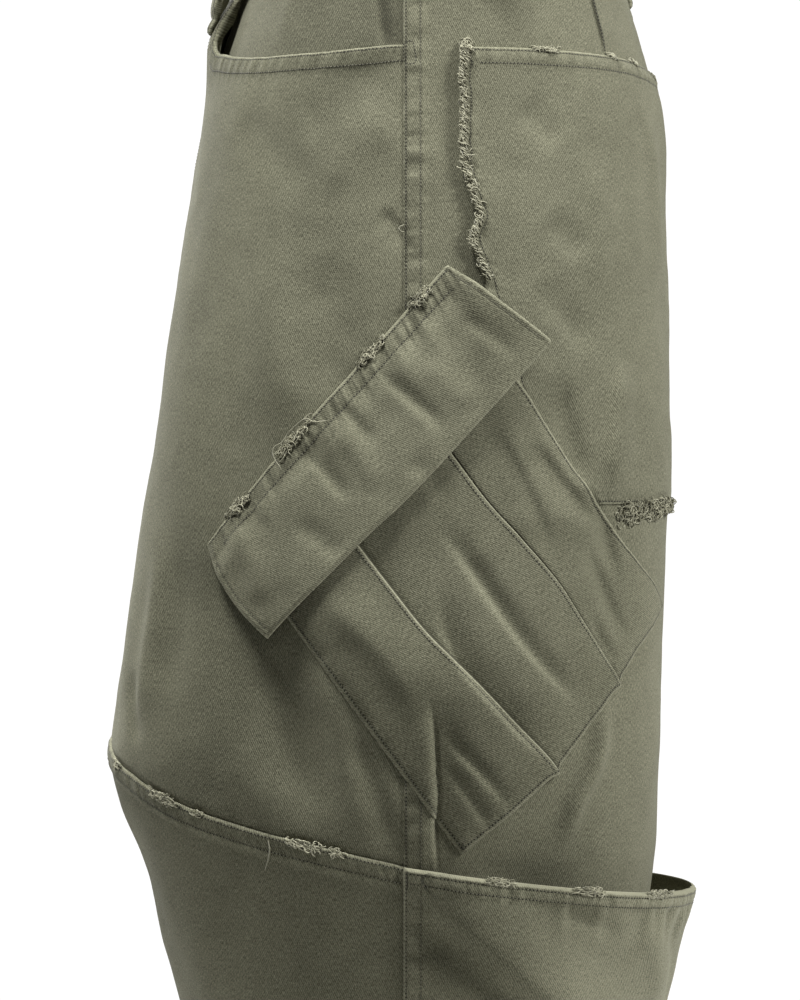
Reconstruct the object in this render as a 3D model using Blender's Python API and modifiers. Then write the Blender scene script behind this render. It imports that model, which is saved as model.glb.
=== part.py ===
"""Cargo shorts, hollow and filled out as when worn.

Frame: metres, +Z up, front towards -Y, the wearer's left towards +X. The origin is the centre of
the waist opening, level with the waistband's top edge at the side seams.

Working sizes are millimetres. A place on a leg is an arc and a drop: the arc is the distance round
the leg from the side seam, negative towards the front, and the drop is the distance below the
origin. Every piece of cloth is a grid of such places, laid on one smooth form, moved out by the
layers under it and given its wall by Solidify. The right side is the left one mirrored.
"""

import bpy
import bmesh
import numpy as np
from mathutils import Vector

MM = 0.001

# Cloth and seams
TWILL = 1.2
BAND_TWILL = 2.6
SEAM_GAP = 0.3
LAYER_GAP = 0.9

# The whole garment
OUTSEAM = 668
CROTCH_DROP = 303
SEAM_Y = -14.5
WAIST_TILT = 0.10
BAND_HEIGHT = 38
BAND_PROUD = 0.7

# The leg's ring at each drop. Front, back, outer and inner are its furthest reaches from the
# origin, middle is where it is widest, and power 2 would be an ellipse. Above the crotch the ring
# crosses the centre line, where it is cut to meet the other leg.
SECTIONS = (
    # drop, front, back, outer, inner, middle, power
    (-20, 95, 97, 122, -122, 0, 2.30),
    (40, 101, 103.5, 131, -131, -1, 2.30),
    (84, 115.5, 116.5, 146, -128, -4, 2.28),
    (115, 123, 123.8, 157, -120, -7, 2.26),
    (168, 131, 125.2, 175, -97, -11, 2.25),
    (221, 138, 125, 191, -63, -13, 2.25),
    (262, 143.3, 125.3, 202, -34, -14, 2.25),
    (289, 146.6, 125.3, 208, -12, -15, 2.25),
    (303, 148.4, 125.2, 211, 0, -15, 2.25),
    (326, 151.8, 124.8, 216, 6, -15, 2.25),
    (379, 160.7, 122.3, 226, 10, -15, 2.22),
    (431, 168, 120.3, 234, 13, -15, 2.20),
    (463, 169.7, 119.3, 237, 15, -15, 2.20),
    (484, 165, 118.1, 238, 16, -15, 2.20),
    (515, 154.4, 116.4, 236, 18, -15, 2.20),
    (560, 143.4, 112.3, 229, 21, -15, 2.20),
    (589, 134, 109.3, 224, 23, -15, 2.20),
    (668, 116, 99, 215, 28, -15, 2.20),
)

# Grids: shares of the way from the side seam to the centre, and rows down the leg
FRONT_SHARES = (0, 0.09, 0.19, 0.29, 0.39, 0.49, 0.58, 0.66, 0.72, 0.755, 0.775, 0.79, 0.89, 1)
BACK_SHARES = tuple(np.linspace(0, 1, 14))
ROWS_ABOVE_CROTCH = 10
ROWS_TO_KNEE = 6
ROWS_TO_HEM = 9
ROWS_BELOW_KNEE = 6
ROW_CROWDING = 1.4
PATCH_GRIDS = {
    # columns, rows
    "pocket_facing": (11, 5),
    "back_pocket": (10, 10),
    "cargo_flap": (10, 6),
    "waistband": (43, 3),
    "fly_shield": (6, 8),
}
BAY_COLUMNS = 5
CARGO_ROWS = 9

# Scooped mouth of the front pocket, and how far it stands open at its front corner
MOUTH = (
    # share, drop
    (0.000, 87),
    (0.290, 91),
    (0.490, 90.5),
    (0.660, 87.5),
    (0.720, 85.5),
    (0.755, 79),
    (0.775, 67),
    (0.790, 48),
)
MOUTH_GAPE = 7
MOUTH_GAPE_AT = (-160, 76)
MOUTH_GAPE_REACH = 24
FACING_BOTTOM = 114
FACING_SET_BACK = (
    # share, distance behind its place under the front panel
    (0.40, 0),
    (0.66, 3),
    (0.78, 3),
    (0.86, 0),
)

# Slanted seam above the lower front panel. Its two sides lean together under the outer face
KNEE_GAP = 0.8
KNEE = (
    # arc, drop
    (-430, 420),
    (-300, 437),
    (-182, 464),
    (-123, 484),
    (-59, 501),
    (0, 514),
)

# Open top edge of the lower back pocket, and how far that pocket stands off the back panel. The
# right one stands off by only a share of it
RIM = (
    # arc, drop
    (0, 513),
    (74, 522),
    (130, 526.3),
    (190, 527),
    (260, 525),
    (420, 524),
)
RIGHT_STANDS = 0.35
STAND_OFF = (
    # drop, distance at the middle of the back
    (500, 21),
    (528, 21),
    (558, 17.3),
    (589, 14),
    (668, 3),
)

# Back patch pocket
BACK_POCKET = (
    # drop, front edge's arc, back edge's arc
    (84, 30, 206),
    (144, 33, 209),
    (192, 38, 212),
    (221, 44, 214),
    (328, 70, 218),
)
BACK_POCKET_TOP = (89, 96)
BACK_POCKET_BOTTOM = 328

# Cargo pocket: its four corners, then its two pleats, which open towards the back
CARGO_CORNERS = (
    # arc, drop: top front, top back, bottom front, bottom back
    (-82, 357),
    (30, 235),
    (29, 506),
    (170, 381),
)
CARGO_PLEATS = (
    # share of the width at the top, at the bottom
    (0.305, 0.347),
    (0.720, 0.660),
)
PLEAT_HEIGHT = 1.8
PLEAT_EDGE = 0.006
PLEATS_OPEN_BY = 0.2

# Cargo flap: its four corners
FLAP_CORNERS = (
    # arc, drop: sewn edge front, sewn edge back, free edge front, free edge back
    (-107, 349),
    (22, 205),
    (-70, 397),
    (74, 246),
)
FLAP_LIFT = 3.6
FLAP_LIFTED_BY = 0.34
FLAP_SPRING = 2

# Cloth that steps over the edge of a layer under it
STEP_MARGIN = 6
STEP_RUN = 16

# Waistband, with its left end lapped over the right
BAND_LAP = 24
BAND_UNDER = 8
BAND_LAP_LIFT = 3.2
BAND_LAP_FLAT = 10
BAND_LAP_END = 25

# Fly shield: its reach past centre front to the right and left, and its lower end's drop
SHIELD_RIGHT = -12
SHIELD_LEFT = 20
SHIELD_END = 192
SHIELD_SET_BACK = 1.5

# Belt loops: rows are distances from the waistband's top edge, closer together at the bends
LOOP_WIDTH = 10
LOOP_WALL = 2.4
LOOP_ROWS = (1, 7, 10, 15, 22, 30, 38, 46, 54, 59, 66)
LOOP_SEAT = 7
LOOP_CLEAR = 0.9
LOOP_FULLNESS = 0.7
LOOPS = (
    # name, side, counted from, distance towards the back, bow
    ("belt_loop_front_left", 1, "centre front", 32, 8.5),
    ("belt_loop_front_right", -1, "centre front", 32, 8.5),
    ("belt_loop_side_left", 1, "side seam", 42, 9.5),
    ("belt_loop_side_right", -1, "side seam", 42, 9.5),
)
BACK_LOOP_BOW = 9.5

# Button
BUTTON_RADIUS = 8.5
BUTTON_THICKNESS = 2.8
BUTTON_RIM = 1.6
BUTTON_DISH = 0.8
BUTTON_EDGE = 0.6
BUTTON_STEPS = 24
BUTTON_PLACE = -8
BUTTON_GAP = 0.8

# Broad folds of the worn cloth
FOLDS = (
    # start arc, start drop, end arc, end drop, width, height
    (-100, 380, -40, 470, 24, -4),
    (-30, 400, -20, 480, 20, 2.5),
    (60, 530, 190, 640, 26, -4),
    (-250, 330, -200, 440, 26, -3),
    (230, 330, 260, 450, 28, -3),
    (-180, 520, -120, 640, 26, -3),
)

# How finely the form is worked out. One of its rows lies exactly at the crotch
FORM_TOP = -20
FORM_BOTTOM = 680
FORM_STEP = 1
FORM_ROWS = (FORM_BOTTOM - FORM_TOP) // FORM_STEP
FORM_PLACES = 160
RING_STEPS = 720
KNEE_LEVEL = 470
WAYS = {"front": -1, "back": 1}


def smooth_rows(table, stations):
    """Rows of a table read at any stations, on smooth curves through its first column."""
    table = np.array(table, dtype=float)
    knots = table[:, 0]
    values = table[:, 1:]
    slopes = np.gradient(values, knots, axis=0)
    stations = np.clip(np.ravel(stations), knots[0], knots[-1])
    left = np.clip(np.searchsorted(knots, stations, side="right") - 1, 0, len(knots) - 2)
    span = (knots[left + 1] - knots[left])[:, None]
    t = (stations - knots[left])[:, None] / span
    rows = (1 + 2 * t) * (1 - t) ** 2 * values[left]
    rows += t ** 2 * (3 - 2 * t) * values[left + 1]
    rows += t * (1 - t) ** 2 * span * slopes[left]
    rows += t ** 2 * (t - 1) * span * slopes[left + 1]
    return rows


def ring(front, back, outer, inner, middle, power):
    """Points round one leg's ring, from its inner side past the front, outer side and back."""
    angle = np.linspace(-np.pi, np.pi, RING_STEPS + 1)
    cosine, sine = np.cos(angle), np.sin(angle)
    depth = np.where(angle < 0, front + middle, back - middle)
    x = (outer + inner) / 2 + (outer - inner) / 2 * np.sign(cosine) * abs(cosine) ** (2 / power)
    y = middle + depth * np.sign(sine) * abs(sine) ** (2 / power)
    return x, y


def build_form():
    """The left leg's bare form: evenly spaced places from the side seam to the centre line."""
    half, quarter = RING_STEPS // 2, RING_STEPS // 4
    shares = np.linspace(0, 1, FORM_PLACES + 1)
    form = {"front": [], "back": [], "front_length": [], "back_length": []}
    for values in smooth_rows(SECTIONS, FORM_TOP + FORM_STEP * np.arange(FORM_ROWS + 1)):
        x, y = ring(*values)
        arc = np.concatenate([[0], np.cumsum(np.hypot(np.diff(x), np.diff(y)))])
        seam = np.interp(SEAM_Y, y[quarter:3 * quarter], arc[quarter:3 * quarter])
        ends = {
            "front": np.interp(0, x[:half + 1], arc[:half + 1]),
            "back": np.interp(0, x[half:][::-1], arc[half:][::-1]),
        }
        for way, end in ends.items():
            places = seam + shares * (end - seam)
            form[way].append(np.stack([np.interp(places, arc, x), np.interp(places, arc, y)], -1))
            form[way + "_length"].append(abs(end - seam))
    return {name: np.array(rows) for name, rows in form.items()}


FORM = build_form()


def between_rows(drop):
    """The form's row above each drop, and how far the drop lies towards the next row."""
    row = np.clip((drop - FORM_TOP) / FORM_STEP, 0, FORM_ROWS - 1e-6)
    above = row.astype(int)
    return above, row - above


def length(way, drop):
    """Arc from the side seam to the centre line or inseam, front or back, at each drop."""
    above, mix = between_rows(np.asarray(drop, float))
    lengths = FORM[way + "_length"]
    return lengths[above] * (1 - mix) + lengths[above + 1] * mix


def on_form(arc, drop):
    """Points of the bare form in millimetres, on the left leg."""
    arc, drop = np.broadcast_arrays(np.asarray(arc, float), np.asarray(drop, float))
    above, mix = between_rows(drop)
    mix = mix[..., None]
    points = np.zeros(arc.shape + (3,))
    for way, chosen in (("front", arc < 0), ("back", arc >= 0)):
        place = np.clip(abs(arc) / length(way, drop), 0, 1) * FORM_PLACES
        low = np.minimum(place.astype(int), FORM_PLACES - 1)
        part = (place - low)[..., None]
        rows = FORM[way]
        upper = rows[above, low] * (1 - part) + rows[above, low + 1] * part
        lower = rows[above + 1, low] * (1 - part) + rows[above + 1, low + 1] * part
        points[..., :2] += np.where(chosen[..., None], upper * (1 - mix) + lower * mix, 0)
    points[..., 2] = -drop
    return points


def swell(points):
    """One on the form, and more outside it."""
    x, y, z = np.moveaxis(points, -1, 0)
    front, back, outer, inner, middle, power = smooth_rows(SECTIONS, -z).T.reshape((6,) + x.shape)
    across = abs(x - (outer + inner) / 2) / ((outer - inner) / 2)
    along = abs(y - middle) / np.where(y < middle, front + middle, back - middle)
    return across ** power + along ** power


def outwards(points):
    """Unit vectors straight out of the form."""
    steps = np.eye(3) * 0.5
    slope = np.stack([swell(points + step) - swell(points - step) for step in steps], -1)
    return slope / np.linalg.norm(slope, axis=-1, keepdims=True)


def relief(arc, drop):
    """Height of the broad folds above the form."""
    height = np.zeros(np.shape(arc))
    for start_arc, start_drop, end_arc, end_drop, width, peak in FOLDS:
        run, fall = end_arc - start_arc, end_drop - start_drop
        share = ((arc - start_arc) * run + (drop - start_drop) * fall) / (run ** 2 + fall ** 2)
        share = np.clip(share, 0, 1)
        away = np.hypot(arc - start_arc - share * run, drop - start_drop - share * fall)
        height += peak * np.exp(-(away / width) ** 2)
    return height


def laid(arc, drop, out):
    """World points, in metres, of places on the left leg moved out from the folded form."""
    points = on_form(arc, drop)
    points += outwards(points) * (relief(arc, drop) + out)[..., None]
    points[..., 0] += SEAM_GAP / 2
    return points * MM


def blend(value, start, end):
    """Zero before start, one after end, and smooth between."""
    share = np.clip((value - start) / (end - start), 0, 1)
    return share ** 2 * (3 - 2 * share)


def read(table, column, place):
    """One column of a table, read on straight lines against its first column."""
    table = np.array(table, dtype=float)
    return np.interp(place, table[:, 0], table[:, column])


# ---- edges that pieces share ----

def waist_top(arc):
    """Drop of the waistband's top edge at each arc."""
    return -WAIST_TILT * on_form(arc, np.zeros(np.shape(arc)))[..., 1]


def waist_seam(way, shares):
    """Drop of the panels' top edge, just under the waistband."""
    arc = WAYS[way] * shares * length(way, np.full(np.shape(shares), BAND_HEIGHT))
    return waist_top(arc) + BAND_HEIGHT + SEAM_GAP


def front_top(shares):
    """Top edge of the front panel: the pocket mouth, then the waist."""
    mouth_end = MOUTH[-1][0]
    return np.where(shares < mouth_end, read(MOUTH, 1, shares), waist_seam("front", shares))


def knee_seam(shares):
    """Drop of the seam above the lower front panel."""
    return read(KNEE, 1, -shares * length("front", np.full(np.shape(shares), KNEE_LEVEL)))


def leg_arcs(way, shares, drops):
    """Arcs at shares of the way to the centre line or inseam, just clear of both seams."""
    end = length(way, drops) - np.where(drops >= CROTCH_DROP, SEAM_GAP / 2, 0)
    return WAYS[way] * (SEAM_GAP / 2 + shares * (end - SEAM_GAP / 2))


def crotch_rows(top, bottom, above, below):
    """Drops of a panel's rows, closer together towards the crotch."""
    rise = (1 - np.arange(above) / above) ** ROW_CROWDING
    fall = (np.arange(below + 1) / below) ** ROW_CROWDING
    upper = CROTCH_DROP - np.outer(rise, CROTCH_DROP - top)
    lower = CROTCH_DROP + np.outer(fall, bottom - CROTCH_DROP)
    return np.concatenate([upper, lower])


def even_rows(top, bottom, rows):
    """Drops of evenly spaced rows between two edges."""
    return top + np.outer(np.linspace(0, 1, rows), bottom - top)


# ---- making one piece ----

def finish(name, colour, roughness):
    material = bpy.data.materials.new(name)
    material.use_nodes = True
    shader = material.node_tree.nodes["Principled BSDF"]
    shader.inputs["Base Color"].default_value = colour
    shader.inputs["Roughness"].default_value = roughness
    shader.inputs["Metallic"].default_value = 0
    return material


def sheet_mesh(name, points, mirrored):
    """An open grid of quads through rows of points, its faces turned out on either leg."""
    rows, columns = points.shape[:2]
    grid = bmesh.new()
    bmesh.ops.create_grid(grid, x_segments=columns - 1, y_segments=rows - 1, size=1)
    for vert in grid.verts:
        column = round((vert.co.x + 1) / 2 * (columns - 1))
        row = round((1 - vert.co.y) / 2 * (rows - 1))
        vert.co = points[row, column]
    if mirrored:
        bmesh.ops.reverse_faces(grid, faces=grid.faces[:])
    mesh = bpy.data.meshes.new(name)
    grid.to_mesh(mesh)
    grid.free()
    return mesh


def cloth(name, side, points, wall, material):
    """A piece of cloth through rows of world points of its outer face on the left leg."""
    piece = bpy.data.objects.new(name, sheet_mesh(name, points * (side, 1, 1), side < 0))
    piece.data.materials.append(material)
    piece.data.shade_smooth()
    PARTS.objects.link(piece)
    skin = piece.modifiers.new("Wall", "SOLIDIFY")
    skin.thickness = wall * MM
    skin.offset = -1
    return piece


def sided(name, side):
    return name + ("_left" if side > 0 else "_right")


# ---- the pieces ----

def mouth_gape(arc, drop):
    """How far the pocket mouth's front corner stands forward of the form."""
    away = np.hypot(arc - MOUTH_GAPE_AT[0], drop - MOUTH_GAPE_AT[1])
    return MOUTH_GAPE * np.exp(-(away / MOUTH_GAPE_REACH) ** 2)


def front_panel(side):
    shares = np.array(FRONT_SHARES[::-1])
    drops = crotch_rows(front_top(shares), knee_seam(shares), ROWS_ABOVE_CROTCH, ROWS_TO_KNEE)
    arcs = leg_arcs("front", shares, drops)
    cloth(sided("front", side), side, laid(arcs, drops, mouth_gape(arcs, drops)), TWILL, OLIVE)


def back_panel(side):
    shares = np.array(BACK_SHARES)
    hem = np.full(len(shares), OUTSEAM)
    drops = crotch_rows(waist_seam("back", shares), hem, ROWS_ABOVE_CROTCH, ROWS_TO_HEM)
    arcs = leg_arcs("back", shares, drops)
    cloth(sided("back", side), side, laid(arcs, drops, 0), TWILL, OLIVE)


def pocket_facing(side):
    columns, rows = PATCH_GRIDS["pocket_facing"]
    shares = np.linspace(FACING_SET_BACK[-1][0], 0, columns)
    drops = even_rows(waist_seam("front", shares), np.full(columns, FACING_BOTTOM), rows)
    out = -(TWILL + LAYER_GAP) - read(FACING_SET_BACK, 1, shares)
    points = laid(leg_arcs("front", shares, drops), drops, out)
    cloth(sided("pocket_facing", side), side, points, TWILL, OLIVE_SHADE)


def lower_front(side):
    shares = np.array(FRONT_SHARES[::-1])
    top = knee_seam(shares) + KNEE_GAP
    drops = even_rows(top, np.full(len(shares), OUTSEAM), ROWS_BELOW_KNEE + 1)
    arcs = leg_arcs("front", shares, drops)
    cloth(sided("lower_front", side), side, laid(arcs, drops, 0), TWILL, OLIVE)


def lower_back(side):
    shares = np.array(BACK_SHARES)
    top = read(RIM, 1, shares * length("back", np.full(len(shares), RIM[-1][1])))
    drops = even_rows(top, np.full(len(shares), OUTSEAM), ROWS_BELOW_KNEE + 1)
    stand = read(STAND_OFF, 1, drops) * np.sin(np.pi * shares)
    stand *= 1 if side > 0 else RIGHT_STANDS
    points = laid(leg_arcs("back", shares, drops), drops, TWILL + LAYER_GAP + stand)
    cloth(sided("lower_back", side), side, points, TWILL, OLIVE)


def back_pocket(side):
    columns, rows = PATCH_GRIDS["back_pocket"]
    shares = np.linspace(0, 1, columns)
    top = np.interp(shares, (0, 1), BACK_POCKET_TOP)
    drops = even_rows(top, np.full(columns, BACK_POCKET_BOTTOM), rows)
    front_edge, back_edge = read(BACK_POCKET, 1, drops), read(BACK_POCKET, 2, drops)
    arcs = front_edge + shares * (back_edge - front_edge)
    cloth(sided("back_pocket", side), side, laid(arcs, drops, TWILL + LAYER_GAP), TWILL, OLIVE)


def over_back_pocket(arc, drop):
    """Height that the back pocket gives what lies over it."""
    past_front = blend(read(BACK_POCKET, 1, drop) - arc, STEP_MARGIN, STEP_MARGIN + STEP_RUN)
    past_bottom = blend(drop - BACK_POCKET_BOTTOM, STEP_MARGIN, STEP_MARGIN + STEP_RUN)
    return (TWILL + LAYER_GAP) * (1 - past_front) * (1 - past_bottom)


def between_corners(corners, across, down):
    """Arcs and drops at shares across and down a four-cornered patch."""
    top_front, top_back, bottom_front, bottom_back = np.array(corners, dtype=float)
    across, down = across[..., None], down[..., None]
    top = top_front + across * (top_back - top_front)
    bottom = bottom_front + across * (bottom_back - bottom_front)
    places = top + down * (bottom - top)
    return places[..., 0], places[..., 1]


def pleated_columns():
    """Columns across the cargo pocket: bays between its edges, and a close pair at each pleat."""
    columns = [0.0]
    for fold in range(1, len(CARGO_PLEATS) + 1):
        columns += list(np.linspace(columns[-1], fold - PLEAT_EDGE, BAY_COLUMNS)[1:])
        columns.append(fold + PLEAT_EDGE)
    columns += list(np.linspace(columns[-1], len(CARGO_PLEATS) + 1, BAY_COLUMNS)[1:])
    return np.array(columns)


def cargo_pocket(side):
    bays, down = np.meshgrid(pleated_columns(), np.linspace(0, 1, CARGO_ROWS))
    pleats = np.array(CARGO_PLEATS)
    marks = np.arange(len(pleats) + 2)
    at_top = np.interp(bays, marks, [0, *pleats[:, 0], 1])
    at_bottom = np.interp(bays, marks, [0, *pleats[:, 1], 1])
    arcs, drops = between_corners(CARGO_CORNERS, at_top + down * (at_bottom - at_top), down)
    rise = np.where(bays < len(pleats), bays % 1, 0)
    pleat = PLEAT_HEIGHT * rise * blend(down, 0, PLEATS_OPEN_BY)
    out = TWILL + LAYER_GAP + over_back_pocket(arcs, drops) + pleat
    cloth(sided("cargo_pocket", side), side, laid(arcs, drops, out), TWILL, OLIVE)


def cargo_flap(side):
    columns, rows = PATCH_GRIDS["cargo_flap"]
    across, down = np.meshgrid(np.linspace(0, 1, columns), np.linspace(0, 1, rows))
    arcs, drops = between_corners(FLAP_CORNERS, across, down)
    lift = FLAP_LIFT * blend(down, 0, FLAP_LIFTED_BY) + FLAP_SPRING * down ** 2
    out = TWILL + LAYER_GAP + over_back_pocket(arcs, drops) + lift
    cloth(sided("cargo_flap", side), side, laid(arcs, drops, out), TWILL, OLIVE)


def round_waist(turns, below_top, out):
    """World points round the waist: 0 is centre front, growing to the left and round to 2."""
    turns = turns % 2
    left = np.where(turns > 1, 2 - turns, turns)
    way = np.where(left < 0.5, "front", "back")
    points = np.zeros(np.broadcast_shapes(turns.shape, below_top.shape) + (3,))
    for name in WAYS:
        share = abs(2 * left - 1)
        arc = WAYS[name] * share * length(name, np.full(share.shape, BAND_HEIGHT / 2))
        top = waist_top(arc)
        arc = WAYS[name] * share * length(name, top + below_top)
        spot = laid(arc, top + below_top, out)
        points += np.where((way == name)[..., None], spot, 0)
    points[..., 0] *= np.where(turns > 1, -1, 1)
    return points


def waistband():
    columns, rows = PATCH_GRIDS["waistband"]
    half_round = 2 * length("front", BAND_HEIGHT / 2)
    turns = np.linspace(0, 2, columns)[1:-1]
    lap = np.array((-BAND_LAP, -BAND_LAP / 2, 0)) / half_round
    turns = np.concatenate([lap, turns, [2, 2 + BAND_UNDER / half_round]])
    turns, below_top = np.meshgrid(turns, np.linspace(0, BAND_HEIGHT, rows))
    past_front = turns * half_round
    lift = BAND_LAP_LIFT * (1 - blend(past_front, BAND_LAP_FLAT, BAND_LAP_END))
    cloth("waistband", 1, round_waist(turns, below_top, BAND_PROUD + lift), BAND_TWILL, OLIVE)


def fly_shield():
    columns, rows = PATCH_GRIDS["fly_shield"]
    across = np.linspace(SHIELD_RIGHT, SHIELD_LEFT, columns)
    across, down = np.meshgrid(across, np.linspace(0, 1, rows))
    seam = waist_seam("front", np.ones(across.shape))
    drops = seam + down * (SHIELD_END - seam)
    arcs = abs(across) - length("front", drops)
    points = laid(arcs, drops, -(TWILL + LAYER_GAP) - SHIELD_SET_BACK * down)
    points[..., 0] *= np.sign(across)
    cloth("fly_shield", 1, points, TWILL, OLIVE_SHADE)


def loop_out(below_top, bow):
    """How far a loop's outer face stands off, sewn down flat at both ends."""
    end = LOOP_ROWS[-1]
    share = np.clip((below_top - LOOP_SEAT) / (end - 2 * LOOP_SEAT), 0, 1)
    on_band = BAND_PROUD * (1 - blend(below_top, BAND_HEIGHT, end - LOOP_SEAT))
    return LOOP_WALL + LOOP_CLEAR + on_band + bow * np.sin(np.pi * share) ** LOOP_FULLNESS


def loop_grid():
    """Distances across a belt loop, and down it from the waistband's top edge."""
    return np.meshgrid(np.array((-0.5, 0.5)) * LOOP_WIDTH, LOOP_ROWS)


def loop_arcs(counted_from, distance, drops):
    """Arcs of a line that hangs straight down, counted from centre front or the side seam."""
    start = -length("front", drops) if counted_from == "centre front" else 0
    return start + distance


def belt_loop(name, side, counted_from, distance, bow):
    across, below_top = loop_grid()
    drops = waist_top(loop_arcs(counted_from, distance, BAND_HEIGHT / 2)) + below_top
    arcs = loop_arcs(counted_from, distance, drops) + across
    out = loop_out(below_top, bow) + mouth_gape(arcs, drops)
    cloth(name, side, laid(arcs, drops, out), LOOP_WALL, OLIVE)


def back_loop():
    across, below_top = loop_grid()
    turns = 1 + across / (2 * length("back", BAND_HEIGHT))
    points = round_waist(turns, below_top, loop_out(below_top, BACK_LOOP_BOW))
    cloth("belt_loop_back", 1, points, LOOP_WALL, OLIVE)


def button():
    """A turned button on the waistband's lapped end, its face along the cloth there."""
    place = np.array(BUTTON_PLACE / (2 * length("front", BAND_HEIGHT / 2)))
    middle = np.array(BAND_HEIGHT / 2)
    underside = BAND_PROUD + BAND_LAP_LIFT + BUTTON_GAP
    seat = Vector(round_waist(place, middle, underside))
    beyond = Vector(round_waist(place, middle, underside + BUTTON_RADIUS))
    inner = BUTTON_RADIUS - BUTTON_RIM
    profile = (
        # radius, height
        (0, BUTTON_THICKNESS - BUTTON_DISH),
        (inner - BUTTON_EDGE, BUTTON_THICKNESS - BUTTON_DISH),
        (inner, BUTTON_THICKNESS),
        (BUTTON_RADIUS - BUTTON_EDGE, BUTTON_THICKNESS),
        (BUTTON_RADIUS, BUTTON_THICKNESS - BUTTON_EDGE),
        (BUTTON_RADIUS, BUTTON_EDGE),
        (BUTTON_RADIUS - BUTTON_EDGE, 0),
        (0, 0),
    )
    mesh = bpy.data.meshes.new("waist_button")
    points = [(radius * MM, 0, height * MM) for radius, height in profile]
    mesh.from_pydata(points, [(i, i + 1) for i in range(len(points) - 1)], [])
    mesh.materials.append(BUTTON_FINISH)
    piece = bpy.data.objects.new("waist_button", mesh)
    PARTS.objects.link(piece)
    turn = piece.modifiers.new("Turn", "SCREW")
    turn.axis = "Z"
    turn.steps = BUTTON_STEPS
    turn.render_steps = BUTTON_STEPS
    turn.use_merge_vertices = True
    turn.merge_threshold = 0.00001
    piece.location = seat
    piece.rotation_euler = (beyond - seat).to_track_quat("Z", "Y").to_euler()


for leftover in list(bpy.data.objects):
    bpy.data.objects.remove(leftover)

PARTS = bpy.data.collections.new("Cargo shorts")
bpy.context.scene.collection.children.link(PARTS)
OLIVE = finish("Olive twill", (0.196, 0.187, 0.138, 1), 0.85)
OLIVE_SHADE = finish("Olive twill facing", (0.188, 0.180, 0.133, 1), 0.85)
BUTTON_FINISH = finish("Button", (0.08, 0.075, 0.06, 1), 0.4)

for side in (1, -1):
    front_panel(side)
    pocket_facing(side)
    back_panel(side)
    lower_front(side)
    lower_back(side)
    back_pocket(side)
    cargo_pocket(side)
    cargo_flap(side)
waistband()
fly_shield()
for loop in LOOPS:
    belt_loop(*loop)
back_loop()
button()
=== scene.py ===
"""Looks of the cargo shorts.

Each piece of cloth is a thin shell on the form its solid has, so the form's tables are repeated
here. Working sizes are millimetres until a mesh is made. A place on a leg is an arc and a drop: the
arc is the distance round the leg from the side seam, negative towards the front, and the drop is
the distance below the origin. The right side is the left one mirrored, with its own small folds.
"""

import math

import bpy
import numpy as np
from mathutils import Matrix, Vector


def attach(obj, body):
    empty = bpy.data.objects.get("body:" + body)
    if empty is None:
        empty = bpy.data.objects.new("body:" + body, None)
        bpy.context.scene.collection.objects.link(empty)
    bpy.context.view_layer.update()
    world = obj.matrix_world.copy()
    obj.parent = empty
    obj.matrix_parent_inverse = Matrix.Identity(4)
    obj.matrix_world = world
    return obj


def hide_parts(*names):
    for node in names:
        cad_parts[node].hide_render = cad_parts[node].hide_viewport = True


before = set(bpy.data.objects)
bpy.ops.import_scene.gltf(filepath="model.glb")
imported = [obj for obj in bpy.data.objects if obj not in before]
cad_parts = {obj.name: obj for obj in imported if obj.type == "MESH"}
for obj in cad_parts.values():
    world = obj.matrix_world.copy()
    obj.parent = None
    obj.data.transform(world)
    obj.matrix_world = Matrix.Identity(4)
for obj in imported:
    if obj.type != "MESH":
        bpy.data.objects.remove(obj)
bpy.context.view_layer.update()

MM = 0.001

# ---- the form, as the solids have it ----

TWILL = 1.2
BAND_TWILL = 2.6
SEAM_GAP = 0.3
LAYER_GAP = 0.9
OUTSEAM = 668
CROTCH_DROP = 303
SEAM_Y = -14.5
WAIST_TILT = 0.10
BAND_HEIGHT = 38
BAND_PROUD = 0.7

SECTIONS = (
    # drop, front, back, outer, inner, middle, power
    (-20, 95, 97, 122, -122, 0, 2.30),
    (40, 101, 103.5, 131, -131, -1, 2.30),
    (84, 115.5, 116.5, 146, -128, -4, 2.28),
    (115, 123, 123.8, 157, -120, -7, 2.26),
    (168, 131, 125.2, 175, -97, -11, 2.25),
    (221, 138, 125, 191, -63, -13, 2.25),
    (262, 143.3, 125.3, 202, -34, -14, 2.25),
    (289, 146.6, 125.3, 208, -12, -15, 2.25),
    (303, 148.4, 125.2, 211, 0, -15, 2.25),
    (326, 151.8, 124.8, 216, 6, -15, 2.25),
    (379, 160.7, 122.3, 226, 10, -15, 2.22),
    (431, 168, 120.3, 234, 13, -15, 2.20),
    (463, 169.7, 119.3, 237, 15, -15, 2.20),
    (484, 165, 118.1, 238, 16, -15, 2.20),
    (515, 154.4, 116.4, 236, 18, -15, 2.20),
    (560, 143.4, 112.3, 229, 21, -15, 2.20),
    (589, 134, 109.3, 224, 23, -15, 2.20),
    (668, 116, 99, 215, 28, -15, 2.20),
)

MOUTH = (
    # share, drop
    (0.000, 87), (0.290, 91), (0.490, 90.5), (0.660, 87.5),
    (0.720, 85.5), (0.755, 79), (0.775, 67), (0.790, 48),
)
MOUTH_GAPE = 7
MOUTH_GAPE_AT = (-160, 76)
MOUTH_GAPE_REACH = 24
FACING_BOTTOM = 114
FACING_SET_BACK = ((0.40, 0), (0.66, 3), (0.78, 3), (0.86, 0))

KNEE = ((-430, 420), (-300, 437), (-182, 464), (-123, 484), (-59, 501), (0, 514))
RIM = ((0, 513), (74, 522), (130, 526.3), (190, 527), (260, 525), (420, 524))
RIGHT_STANDS = 0.35
STAND_OFF = ((500, 21), (528, 21), (558, 17.3), (589, 14), (668, 3))

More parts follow.
